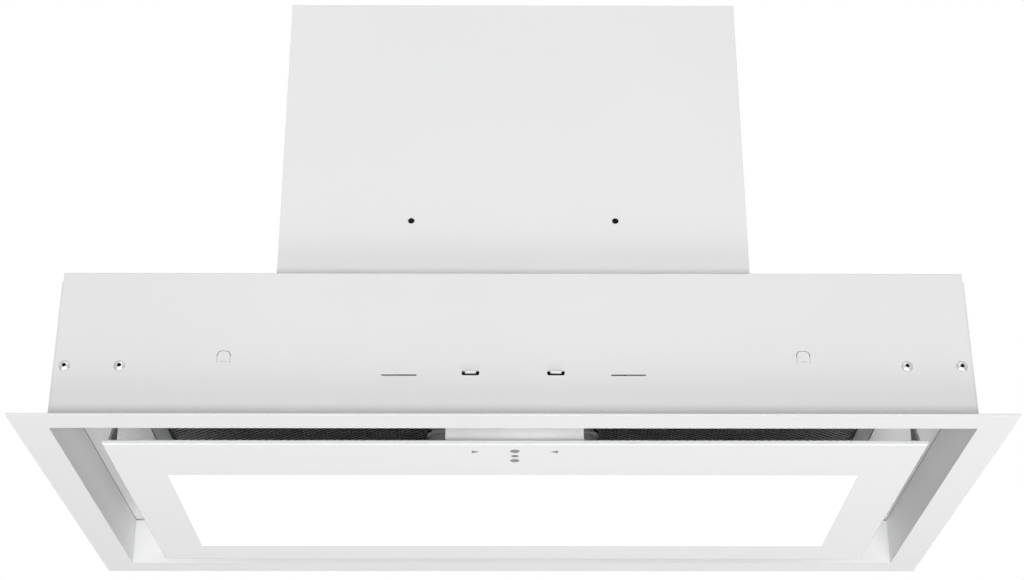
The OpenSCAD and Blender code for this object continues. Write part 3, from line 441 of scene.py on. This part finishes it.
@dataclass(frozen=True)
class RivetMetal:
    """Bright rivet aluminium, with painted shade in the mandrel's hole and at the foot of the head."""

    name: str = "rivet_metal"
    colour: Colour = (0.66, 0.665, 0.67)
    crevice_shade: Colour = (0.03, 0.03, 0.03)
    reach: float = 0.0024

    def material(self) -> bpy.types.Material:
        """Makes the material.

        Returns:
            The material.
        """
        g = Graph(self.name)
        place = g.place()
        marks = g.noise(place, scale=700.0, detail=3.0, rough=0.6)
        open_air = g.add(
            "ShaderNodeAmbientOcclusion", {"samples": 8}, {"Distance": self.reach}, output="AO"
        )
        bare = g.mix(marks.ramp(0.3, 0.7), tuple(c * 0.8 for c in self.colour), self.colour)
        return g.finish(
            # Painted shade: ambient occlusion darkens the colour in the mandrel's hole and round the
            # foot of the head.
            Base_Color=g.mix(open_air.ramp(0.4, 1.0), self.crevice_shade, bare),
            Metallic=1.0,
            Roughness=0.28 + 0.15 * marks,
            Normal=g.relief(marks, 0.00001, 0.0003),
        )


@dataclass(frozen=True)
class Moulding:
    """Injection-moulded plastic with spark-eroded grain."""

    name: str
    colour: Colour
    roughness: float = 0.5
    grain_depth: float = 0.00002
    edge: float = 0.0006

    def material(self) -> bpy.types.Material:
        """Makes the material.

        Returns:
            The material.
        """
        g = Graph(self.name)
        place = g.place()
        grain = g.cells(place, scale=1400.0)
        cloud = g.noise(place, scale=18.0, detail=3.0)
        darker = tuple(c * 0.86 for c in self.colour)
        return g.finish(
            Base_Color=g.mix(cloud.ramp(0.3, 0.7), darker, self.colour),
            Roughness=self.roughness + 0.12 * cloud - 0.06,
            Normal=g.relief(grain, self.grain_depth, self.edge),
        )


@dataclass(frozen=True)
class Rubber:
    """Soft rubber with a dusty bloom."""

    name: str = "black_rubber"
    colour: Colour = (0.022, 0.022, 0.023)

    def material(self) -> bpy.types.Material:
        """Makes the material.

        Returns:
            The material.
        """
        g = Graph(self.name)
        place = g.place()
        bloom = g.noise(place, scale=160.0, detail=4.0)
        return g.finish(
            Base_Color=g.mix(bloom.ramp(0.4, 0.8), self.colour, (0.05, 0.05, 0.05)),
            Roughness=0.75 + 0.15 * bloom,
            Normal=g.relief(bloom, 0.00002, 0.0005),
        )


@dataclass(frozen=True)
class CircuitBoard:
    """Solder mask with a faint net of tracks."""

    name: str
    mask: Colour
    track: Colour

    def material(self) -> bpy.types.Material:
        """Makes the material.

        Returns:
            The material.
        """
        g = Graph(self.name)
        place = g.place()
        x, y, _ = g.axes(place)
        lines = ((x * 1800.0).wave().ramp(0.55, 0.8)).most((y * 1500.0).wave().ramp(0.6, 0.85))
        patch = g.noise(place, scale=90.0, detail=1.0).ramp(0.48, 0.52)
        net = lines * patch
        return g.finish(
            Base_Color=g.mix(net, self.mask, self.track),
            Roughness=0.35 + 0.15 * net,
            Normal=g.relief(net, 0.00003, 0.0002),
        )


class Dot(NamedTuple):
    """A round printed mark."""

    x: float
    y: float
    radius: float


class Arrow(NamedTuple):
    """A printed triangle that points along X."""

    back: float
    tip: float
    y: float
    half: float


@dataclass(frozen=True)
class PrintedGlass:
    """Back-printed white glass: a lit window, three sensor dots, two arrows and painted shade along the
    far edge.
    """

    window_y: float
    centre_x: float
    half: Point2
    window_half: Point2 = (0.2195, 0.0740)
    name: str = "white_glass"
    colour: Colour = (0.935, 0.937, 0.939)
    edge_colour: Colour = (0.82, 0.835, 0.83)
    far_shade_colour: Colour = (0.34, 0.35, 0.345)
    mark: Colour = (0.22, 0.22, 0.225)
    dots: tuple[Dot, ...] = (
        Dot(0.0009, -0.1068, 0.0030),
        Dot(0.0009, -0.0981, 0.0024),
        Dot(0.0009, -0.0900, 0.0030),
    )
    arrows: tuple[Arrow, ...] = (
        Arrow(-0.0257, -0.0207, -0.1057, 0.0025),
        Arrow(0.0274, 0.0225, -0.1057, 0.0025),
    )

    def material(self) -> bpy.types.Material:
        """Makes the material.

        Returns:
            The material.
        """
        g = Graph(self.name)
        x, y, _ = g.axes(g.place())
        out_x = abs(x) - self.window_half[0]
        out_y = abs(y - self.window_y) - self.window_half[1]
        window = out_x.most(out_y).ramp(-0.00012, 0.00012, 1.0, 0.0)
        marks = self._marks(x, y)
        past_x = abs(x - self.centre_x) - self.half[0]
        rim = past_x.most(abs(y) - self.half[1]).ramp(-0.0006, -0.00035)
        face = g.mix(rim, self.colour, self.edge_colour)
        # Painted shade: a dark band along the glass's far edge.
        far_rim = (y - self.half[1]).ramp(-0.0010, -0.0006)
        face = g.mix(far_rim, face, self.far_shade_colour)
        face = g.mix(marks, face, self.mark)
        dust = g.noise(g.place(), scale=14.0, detail=3.0)
        return g.finish(
            Base_Color=g.mix(window, face, (0.97, 0.97, 0.97)),
            Roughness=0.12 + 0.04 * dust,
            Coat_Weight=0.35,
            Coat_Roughness=0.04,
            Emission_Color=g.mix(window, (0.0, 0.0, 0.0), (1.0, 1.0, 1.0)),
            Emission_Strength=1.0,
        )

    def _marks(self, x: Value, y: Value) -> Value:
        """The printed dots and arrows.

        Args:
            x: Place along X.
            y: Place along Y.

        Returns:
            One on a mark, and zero off it.
        """
        total: Value | None = None
        for dot in self.dots:
            dx = x - dot.x
            dy = y - dot.y
            away = (dx * dx + dy * dy).root()
            inside = away.ramp(dot.radius - 0.0001, dot.radius + 0.0001, 1.0, 0.0)
            total = inside if total is None else total.most(inside)
        for arrow in self.arrows:
            along = (x - arrow.back) / (arrow.tip - arrow.back)
            side = abs(y - arrow.y) / arrow.half
            inside = (along + side).ramp(0.97, 1.03, 1.0, 0.0) * (along > 0.0)
            total = total.most(inside)
        return total


@dataclass(frozen=True)
class Opal:
    """Opal acrylic that carries the panel light."""

    name: str = "opal_sheet"

    def material(self) -> bpy.types.Material:
        """Makes the material.

        Returns:
            The material.
        """
        g = Graph(self.name)
        haze = g.noise(g.place(), scale=60.0, detail=2.0)
        return g.finish(
            Base_Color=g.mix(haze, (0.95, 0.95, 0.94), (0.98, 0.98, 0.98)),
            Roughness=0.4 + 0.1 * haze,
            Emission_Color=(1.0, 1.0, 1.0, 1.0),
            Emission_Strength=0.8,
        )


# Mesh tools


def new_piece(
    name: str,
    verts: Sequence[Point],
    faces: Sequence[Sequence[int]],
    finish: bpy.types.Material,
    body: str,
    smooth: bool = False,
) -> bpy.types.Object:
    """Makes a mesh object that rides on a body.

    Args:
        name: The piece's name.
        verts: Its points in metres.
        faces: Its faces, as indices of points.
        finish: Its material.
        body: The body that it rides on.
        smooth: Whether it is shaded smooth.

    Returns:
        The object.
    """
    mesh = bpy.data.meshes.new(name)
    mesh.from_pydata([tuple(v) for v in verts], [], [tuple(f) for f in faces])
    mesh.validate()
    mesh.update()
    mesh.materials.append(finish)
    if smooth:
        mesh.polygons.foreach_set("use_smooth", [True] * len(mesh.polygons))
    piece = bpy.data.objects.new(name, mesh)
    bpy.context.scene.collection.objects.link(piece)
    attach(piece, body)
    LOG.info("built %s with %d faces on %s", name, len(mesh.polygons), body)
    return piece


def oval_ring(length: float, width: float, centre: Point2, z: float, steps: int) -> list[Point]:
    """Points round a flat oval along X.

    Args:
        length: Overall length.
        width: Overall width.
        centre: Its middle.
        z: Its height.
        steps: Points on each round end.

    Returns:
        The points, anticlockwise.
    """
    r = width / 2
    points = []
    for side in (1, -1):
        for i in range(steps + 1):
            a = math.radians(-90 + 180 * i / steps) + (0 if side > 0 else math.pi)
            x = centre[0] + side * (length / 2 - r) + r * math.cos(a)
            points.append((x, centre[1] + r * math.sin(a), z))
    return points


def loft(rings: Sequence[Sequence[Point]]) -> tuple[list[Point], list[list[int]]]:
    """Skins rings with the same number of points.

    Args:
        rings: The rings, in order.

    Returns:
        The points and faces.
    """
    n = len(rings[0])
    verts = [p for ring in rings for p in ring]
    faces = []
    for i in range(len(rings) - 1):
        a = i * n
        b = a + n
        for k in range(n):
            m = (k + 1) % n
            faces.append([a + k, a + m, b + m, b + k])
    return verts, faces


# Finishes that several sub-assemblies share


BODY_WHITE = Enamel()
ZINC = Metal("zinc_steel", (0.62, 0.63, 0.64), 0.34, Grain.ALONG_X)
RIVETS = RivetMetal()
GREY_PLASTIC = Moulding("moulded_grey", (0.10, 0.103, 0.106))
FLAP_PLASTIC = Moulding("flap_plastic", (0.24, 0.245, 0.25))
CIRCUIT = CircuitBoard("circuit_board", (0.012, 0.09, 0.035), (0.05, 0.20, 0.08))


# Sub-assemblies


@dataclass
class Dresser:
    """Gives the frame's own solids their finishes, and makes each finish once."""

    nodes: dict[str, bpy.types.Object]
    made: dict[Finish, bpy.types.Material] = field(default_factory=dict)

    def material(self, finish: Finish) -> bpy.types.Material:
        """Makes a finish's material, or finds the one made before.

        Args:
            finish: The finish.

        Returns:
            Its material.
        """
        if finish not in self.made:
            self.made[finish] = finish.material()
        return self.made[finish]

    def dress(self, finish: Finish, *names: str) -> None:
        """Puts one finish on several nodes.

        Args:
            finish: The finish.
            names: The nodes.
        """
        for name in names:
            for slot in self.nodes[name].material_slots:
                slot.material = self.material(finish)
            LOG.info("dressed %s with %s", name, finish.name)


@dataclass
class Casing:
    """Body sheets, chimney box, ledge and trim frame, with their rivets."""

    tab_lit: float = 0.0012
    tab_above_seam: float = 0.0011

    def dress(self, dresser: Dresser) -> None:
        """Coats the sheets, and shades the seam over the trim frame and the roots of the tabs.

        Args:
            dresser: What knows the frame's nodes.
        """
        front_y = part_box("front_sheet")[0][1]
        seam_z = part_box("trim_frame")[1][2]
        tuck = Tuck(front_y - self.tab_lit, seam_z + self.tab_above_seam)
        # Painted light: the chimney, ledge and trim frame wear the body's one white paint, given lighter
        # copies here that stand in for the light reaching them.
        chimney = Enamel("chimney_enamel", (0.925, 0.927, 0.93))
        ledge = Enamel("ledge_enamel", (0.95, 0.95, 0.95), tuck=tuck)
        trim = Enamel("trim_enamel", (0.89, 0.892, 0.895), seam_z=seam_z)
        dresser.dress(BODY_WHITE, "front_sheet", "back_sheet", "top_deck")
        dresser.dress(BODY_WHITE, "side_sheet_left", "side_sheet_right")
        dresser.dress(chimney, "chimney_shell", "chimney_back", "chimney_top")
        dresser.dress(ledge, "filter_ledge")
        dresser.dress(trim, "trim_frame")
        dresser.dress(RIVETS, "body_rivets", "chimney_rivets")


@dataclass
class Outlet:
    """Collar with its damper flaps, and the duct under it."""

    def dress(self, dresser: Dresser) -> None:
        """Gives the mouldings and the screws their finishes.

        Args:
            dresser: What knows the frame's nodes.
        """
        dresser.dress(GREY_PLASTIC, "outlet_collar", "transition_duct")
        dresser.dress(FLAP_PLASTIC, "damper_flap_left", "damper_flap_right")
        dresser.dress(ZINC, "damper_axle", "outlet_screws", "duct_screws")


@dataclass
class Blower:
    """Scroll housing, wheel and motor."""

    def dress(self, dresser: Dresser) -> None:
        """Gives the blower its plastics, steel and rubber.

        Args:
            dresser: What knows the frame's nodes.
        """
        dresser.dress(GREY_PLASTIC, "scroll_left", "scroll_right")
        dresser.dress(FLAP_PLASTIC, "impeller")
        dresser.dress(Metal("motor_metal", (0.56, 0.57, 0.58), 0.38), "fan_motor")
        dresser.dress(Rubber(), "motor_grommets")
        dresser.dress(ZINC, "motor_bracket", "motor_screws", "scroll_screws")
        dresser.dress(ZINC, "blower_brackets", "bracket_screws")


@dataclass
class Electrics:
    """Power box with its board, run capacitor and cable gland."""

    def dress(self, dresser: Dresser) -> None:
        """Gives the electrical parts their plastics and clips.

        Args:
            dresser: What knows the frame's nodes.
        """
        box = Moulding("moulded_pale", (0.72, 0.72, 0.71), 0.45)
        can = Moulding("capacitor_white", (0.80, 0.80, 0.78), 0.3, 0.000008)
        dresser.dress(box, "power_box", "power_box_lid")
        dresser.dress(CIRCUIT, "power_board")
        dresser.dress(can, "run_capacitor")
        dresser.dress(GREY_PLASTIC, "cable_gland")
        dresser.dress(ZINC, "capacitor_clip", "lid_screws")


@dataclass
class Panel:
    """Glass panel with its light, touch control, hinges and catches."""

    def dress(self, dresser: Dresser) -> None:
        """Prints the glass and gives what it carries its finishes.

        Args:
            dresser: What knows the frame's nodes.
        """
        led_white = CircuitBoard("led_board", (0.82, 0.81, 0.78), (0.72, 0.70, 0.62))
        housing = Moulding("housing_white", (0.96, 0.96, 0.96), 0.34, 0.000008)
        dresser.dress(self._glass(), "glass_pane")
        dresser.dress(Enamel("tray_white", (0.88, 0.88, 0.88), 0.5), "light_tray")
        dresser.dress(Opal(), "light_diffuser")
        dresser.dress(led_white, "led_boards")
        dresser.dress(CIRCUIT, "control_board")
        dresser.dress(housing, "control_housing")
        dresser.dress(Moulding("catch_grey", (0.34, 0.34, 0.345), 0.42), "catch_posts")
        dresser.dress(RIVETS, "hinge_rivets")
        dresser.dress(ZINC, "panel_frame", "hinge_leaves", "hinge_bases", "hinge_pins", "catch_clips")

    @staticmethod
    def _glass() -> PrintedGlass:
        """The glass's print, laid out from the pane and the light tray.

        Returns:
            The finish.
        """
        low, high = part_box("glass_pane")
        tray_low, tray_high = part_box("light_tray")
        return PrintedGlass(
            window_y=(tray_low[1] + tray_high[1]) / 2,
            centre_x=(low[0] + high[0]) / 2,
            half=((high[0] - low[0]) / 2, (high[1] - low[1]) / 2),
        )


@dataclass
class GreaseFilter:
    """The filter's layers of expanded aluminium and its oval finger pull."""

    half_x: float
    y0: float
    y1: float
    z0: float
    z1: float
    handle_y: float
    rim_z: float
    roof_z: float
    handle_len: float = 0.112
    handle_width: float = 0.0162
    cut_gap: float = 0.0006
    cell_x: float = 0.0050
    cell_y: float = 0.0043
    strand: float = 0.00055
    strand_h: float = 0.0007
    strand_lift: float = 0.0003
    core_behind: float = 0.0026
    tub_wall: float = 0.0004

    @classmethod
    def from_frame(cls) -> "GreaseFilter":
        """Takes its sizes from the frame's mesh and handle.

        Returns:
            The filter.
        """
        mesh_low, mesh_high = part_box("filter_mesh")
        pull_low, pull_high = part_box("filter_handle")
        return cls(
            half_x=mesh_high[0],
            y0=mesh_low[1],
            y1=mesh_high[1],
            z0=mesh_low[2],
            z1=mesh_high[2],
            handle_y=(pull_low[1] + pull_high[1]) / 2,
            rim_z=pull_low[2],
            roof_z=pull_high[2],
        )

    def dress(self, dresser: Dresser) -> None:
        """Gives the frame and the latch their metals, and builds the mesh and the finger pull.

        Args:
            dresser: What knows the frame's nodes.
        """
        dresser.dress(Metal("filter_alu", (0.54, 0.545, 0.55), 0.36, Grain.ALONG_Y), "filter_frame")
        dresser.dress(Metal("latch_steel", (0.42, 0.425, 0.43), 0.4, Grain.ALONG_Y), "filter_latch")
        dresser.dress(ZINC, "filter_tabs")
        bright = dresser.material(Metal("mesh_alu", (0.78, 0.783, 0.787), 0.34))
        # Painted shade: the deeper aluminium layers are drawn as a near-black slab.
        dark = dresser.material(Moulding("mesh_depth_shade", (0.02, 0.02, 0.021), 0.7))
        for layer in self.build_mesh(bright, dark):
            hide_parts("filter_mesh")
        grey = dresser.material(Moulding("handle_grey", (0.84, 0.845, 0.85), 0.35, 0.000008))
        pull = self.build_handle(grey)
        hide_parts("filter_handle")

    def build_mesh(self, bright: bpy.types.Material, dark: bpy.types.Material) -> list[bpy.types.Object]:
        """Builds the outer layer of expanded sheet over a core painted dark as the deeper layers' shade.

        Args:
            bright: Finish of the strands.
            dark: Finish of the core, painted dark as the shade of the deeper layers.

        Returns:
            The pieces.
        """
        return [
            new_piece("mesh_layer", *self._strands(), bright, "hood"),
            new_piece("mesh_core", *self._core(), dark, "hood"),
        ]

    def _clear(self, x: float, y: float) -> bool:
        """Whether a point is outside the handle's cut-out.

        Args:
            x: Place along X.
            y: Place along Y.

        Returns:
            True if the mesh stands there.
        """
        r = self.handle_width / 2 - self.cut_gap
        dx = max(0.0, abs(x) - (self.handle_len / 2 - self.handle_width / 2))
        return math.hypot(dx, y - self.handle_y) > r

    def _strands(self) -> tuple[list[Point], list[list[int]]]:
        """Zigzag strands that meet their neighbours, as slit and stretched sheet does.

        Returns:
            The points and faces.
        """
        verts: list[Point] = []
        faces: list[list[int]] = []
        rows = int((self.y1 - self.y0) / (self.cell_y / 2))
        steps = int(2 * self.half_x / (self.cell_x / 2))
        swing = self.cell_y / 4 - self.strand * 0.3
        section = ((-1, 0), (1, 0), (1, 1), (-1, 1))
        for row in range(rows):
            y_mid = self.y0 + (row + 0.5) * self.cell_y / 2
            last: list[int] | None = None
            for step in range(steps + 1):
                x = -self.half_x + step * self.cell_x / 2
                up = 1 if (step + row) % 2 else -1
                y = y_mid + up * swing
                if not self._clear(x, y) or abs(x) > self.half_x:
                    last = None
                    continue
                ring = list(range(len(verts), len(verts) + 4))
                height = self.strand_h * (0.6 + 0.35 * up)
                for dy, dz in section:
                    z = self.z0 + self.strand_lift + dz * height
                    verts.append((x, y + dy * self.strand / 2, z))
                if last is not None:
                    for k in range(4):
                        m = (k + 1) % 4
                        faces.append([last[k], last[m], ring[m], ring[k]])
                last = ring
        return verts, faces

    def _core(self) -> tuple[list[Point], list[list[int]]]:
        """The deeper layers, as a slab painted dark as their shade, with the handle's cut-out.

        Returns:
            The points and faces.
        """
        z = self.z0 + self.core_behind
        outer = [
            (self.half_x, self.y0, z), (self.half_x, self.y1, z),
            (-self.half_x, self.y1, z), (-self.half_x, self.y0, z),
        ]
        gap = 2 * self.cut_gap
        hole = oval_ring(self.handle_len - gap, self.handle_width - gap, (0.0, self.handle_y), z, 8)
        verts: list[Point] = []
        faces: list[list[int]] = []
        n = len(hole)
        for height in (z, self.z1):
            base = len(verts)
            verts += [(x, y, height) for x, y, _ in outer]
            verts += [(x, y, height) for x, y, _ in hole]
            q = base + 4
            right = range(n // 2)
            left = range(n // 2, n)
            faces.append([base + 0, base + 1] + [q + i for i in reversed(right)])
            faces.append([base + 2, base + 3] + [q + i for i in reversed(left)])
            faces.append([base + 1, base + 2, q + left[0], q + right[-1]])
            faces.append([base + 3, base + 0, q + right[0], q + left[-1]])
        step = 4 + n
        for k in range(4):
            m = (k + 1) % 4
            faces.append([k, m, step + m, step + k])
        for k in range(n):
            m = (k + 1) % n
            faces.append([4 + k, 4 + m, step + 4 + m, step + 4 + k])
        return verts, faces

    def build_handle(self, finish: bpy.types.Material) -> bpy.types.Object:
        """Builds the finger pull with a rolled rim and a deep tub.

        Args:
            finish: Its finish.

        Returns:
            The piece.
        """
        depth = self.roof_z - self.rim_z
        profile = (
            (0.0011, 0.0011), (0.0000, 0.0010), (0.0000, 0.0005), (0.0003, 0.00015),
            (0.0008, 0.0000), (0.0014, 0.00005), (0.0019, 0.0004), (0.0022, 0.0009),
            (0.0024, 0.0016), (0.0026, depth - 0.0012), (0.0034, depth - 0.0008),
        )
        centre = (0.0, self.handle_y)
        rings = []
        for inset, lift in profile:
            length = self.handle_len - 2 * inset
            width = self.handle_width - 2 * inset
            rings.append(oval_ring(length, width, centre, self.rim_z + lift, 14))
        verts, faces = loft(rings)
        faces.append(list(range(len(verts) - len(rings[0]), len(verts))))
        piece = new_piece("finger_pull", verts, faces, finish, "hood", smooth=True)
        solid = piece.modifiers.new("wall", "SOLIDIFY")
        solid.thickness = self.tub_wall
        solid.offset = -1.0
        return piece


# Studio


@dataclass(frozen=True)
class Lamp:
    """A square soft light, with its side in metres and its power in watts."""

    name: str
    at: Point
    towards: Point
    size: float
    power: float

    def build(self) -> None:
        """Hangs the lamp, unseen by the camera."""
        data = bpy.data.lights.new(self.name, "AREA")
        data.shape = "SQUARE"
        data.size = self.size
        data.energy = self.power
        lamp = bpy.data.objects.new(self.name, data)
        lamp.location = self.at
        aim = Vector(self.towards) - Vector(self.at)
        lamp.rotation_euler = aim.to_track_quat("-Z", "Y").to_euler()
        lamp.visible_camera = False
        bpy.context.scene.collection.objects.link(lamp)
        LOG.info("lit %s", self.name)


@dataclass
class Studio:
    """Floor, lights, world and the camera at the photograph's angle."""

    camera_at: Point = (-0.00618, -1.18042, -0.39494)
    pitch: float = 25.176
    yaw: float = -0.2871
    roll: float = -0.0548
    focal_px: float = 1851.22
    width_px: float = 1024.0
    sensor_mm: float = 36.0
    floor_z: float = -2.6
    floor_half: float = 40.0
    floor_glow: float = 0.66
    floor_paint: tuple[Colour, Colour] = ((0.80, 0.80, 0.80), (0.83, 0.83, 0.83))
    ambient: float = 0.14
    lamps: tuple[Lamp, ...] = (
        Lamp("low_front", (0.0, -3.2, -1.45), (0.0, 0.0, 0.05), 1.2, 60.0),
        Lamp("high_front", (0.0, -1.0, 1.2), (0.0, 0.0, 0.2), 1.0, 2.8),
        Lamp("near_left", (-1.1, -2.0, -0.9), (0.0, 0.0, 0.0), 0.8, 4.6),
        Lamp("below_right", (1.1, -0.9, -1.5), (0.0, 0.0, 0.0), 1.0, 11.0),
        Lamp("below_left", (-1.1, -0.9, -1.5), (0.0, 0.0, 0.0), 1.0, 6.0),
        Lamp("below_back", (1.1, 0.5, -1.5), (0.0, 0.0, 0.0), 1.0, 4.0),
        Lamp("high_back", (0.0, 2.8, 2.2), (0.0, 0.0, 0.15), 1.6, 45.0),
        Lamp("side_left", (-2.8, 1.2, 0.9), (0.0, 0.0, 0.1), 1.4, 20.0),
        Lamp("side_right", (2.8, 1.2, 0.9), (0.0, 0.0, 0.1), 1.4, 20.0),
    )

    def build(self) -> None:
        """Builds the whole studio."""
        self._camera()
        self._floor()
        self._world()
        for lamp in self.lamps:
            lamp.build()
        bpy.context.scene.view_settings.view_transform = "Standard"

    def _camera(self) -> None:
        """Places the camera that matches the photograph."""
        data = bpy.data.cameras.new("photo_camera")
        data.sensor_width = self.sensor_mm
        data.lens = self.sensor_mm * self.focal_px / self.width_px
        camera = bpy.data.objects.new("photo_camera", data)
        turn = (
            Matrix.Rotation(math.radians(self.yaw), 4, "Z")
            @ Matrix.Rotation(math.radians(90 + self.pitch), 4, "X")
            @ Matrix.Rotation(math.radians(self.roll), 4, "Z")
        )
        camera.matrix_world = Matrix.Translation(self.camera_at) @ turn
        bpy.context.scene.collection.objects.link(camera)
        bpy.context.scene.camera = camera

    def _floor(self) -> None:
        """A wide pale floor below the camera, which eyes and mirrors see brighter than it lights."""
        half, z = self.floor_half, self.floor_z
        corners = [(-half, -half, z), (half, -half, z), (half, half, z), (-half, half, z)]
        mesh = bpy.data.meshes.new("studio_floor")
        mesh.from_pydata(corners, [], [(0, 1, 2, 3)])
        g = Graph("pale_floor")
        speck = g.noise(g.place(), scale=3.0, detail=2.0)
        paint = g.mix(speck, *self.floor_paint)
        lit = g.add("ShaderNodeBsdfPrincipled", {}, {"Base Color": paint, "Roughness": 0.8})
        glow = g.add("ShaderNodeEmission", {}, {"Color": paint, "Strength": self.floor_glow})
        both = g.add("ShaderNodeAddShader", {}, {0: lit, 1: glow})
        camera = g.add("ShaderNodeLightPath", output="Is Camera Ray")
        glossy = g.add("ShaderNodeLightPath", output="Is Glossy Ray")
        through = g.add("ShaderNodeLightPath", output="Is Transmission Ray")
        seen = camera.most(glossy).most(through)
        shader = g.add("ShaderNodeMixShader", {}, {0: seen, 1: lit, 2: both})
        g.add("ShaderNodeOutputMaterial", {}, {"Surface": shader})
        mesh.materials.append(g.material)
        floor = bpy.data.objects.new("studio_floor", mesh)
        bpy.context.scene.collection.objects.link(floor)

    def _world(self) -> None:
        """A soft white room that the camera and mirrors see as pure white."""
        world = bpy.data.worlds.new("white_room")
        bpy.context.scene.world = world
        world.use_nodes = True
        tree = world.node_tree
        tree.nodes.clear()
        path = tree.nodes.new("ShaderNodeLightPath")
        seen = path.outputs["Is Camera Ray"]
        for ray in ("Is Glossy Ray", "Is Transmission Ray"):
            either = tree.nodes.new("ShaderNodeMath")
            either.operation = "MAXIMUM"
            tree.links.new(seen, either.inputs[0])
            tree.links.new(path.outputs[ray], either.inputs[1])
            seen = either.outputs[0]
        lit = tree.nodes.new("ShaderNodeBackground")
        lit.inputs[0].default_value = (1.0, 1.0, 1.0, 1.0)
        lit.inputs[1].default_value = self.ambient
        white = tree.nodes.new("ShaderNodeBackground")
        white.inputs[0].default_value = (1.0, 1.0, 1.0, 1.0)
        white.inputs[1].default_value = 1.0
        mix = tree.nodes.new("ShaderNodeMixShader")
        out = tree.nodes.new("ShaderNodeOutputWorld")
        tree.links.new(seen, mix.inputs[0])
        tree.links.new(lit.outputs[0], mix.inputs[1])
        tree.links.new(white.outputs[0], mix.inputs[2])
        tree.links.new(mix.outputs[0], out.inputs[0])


def main() -> None:
    """Builds the scene piece by piece."""
    logging.basicConfig(level=logging.INFO, format="%(name)s: %(message)s")
    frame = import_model()
    Studio().build()
    dresser = Dresser(frame["nodes"])
    parts = (Casing(), Outlet(), Blower(), Electrics(), Panel(), GreaseFilter.from_frame())
    for part in parts:
        part.dress(dresser)
        LOG.info("finished the %s", type(part).__name__.lower())


if __name__ == "__main__":
    main()
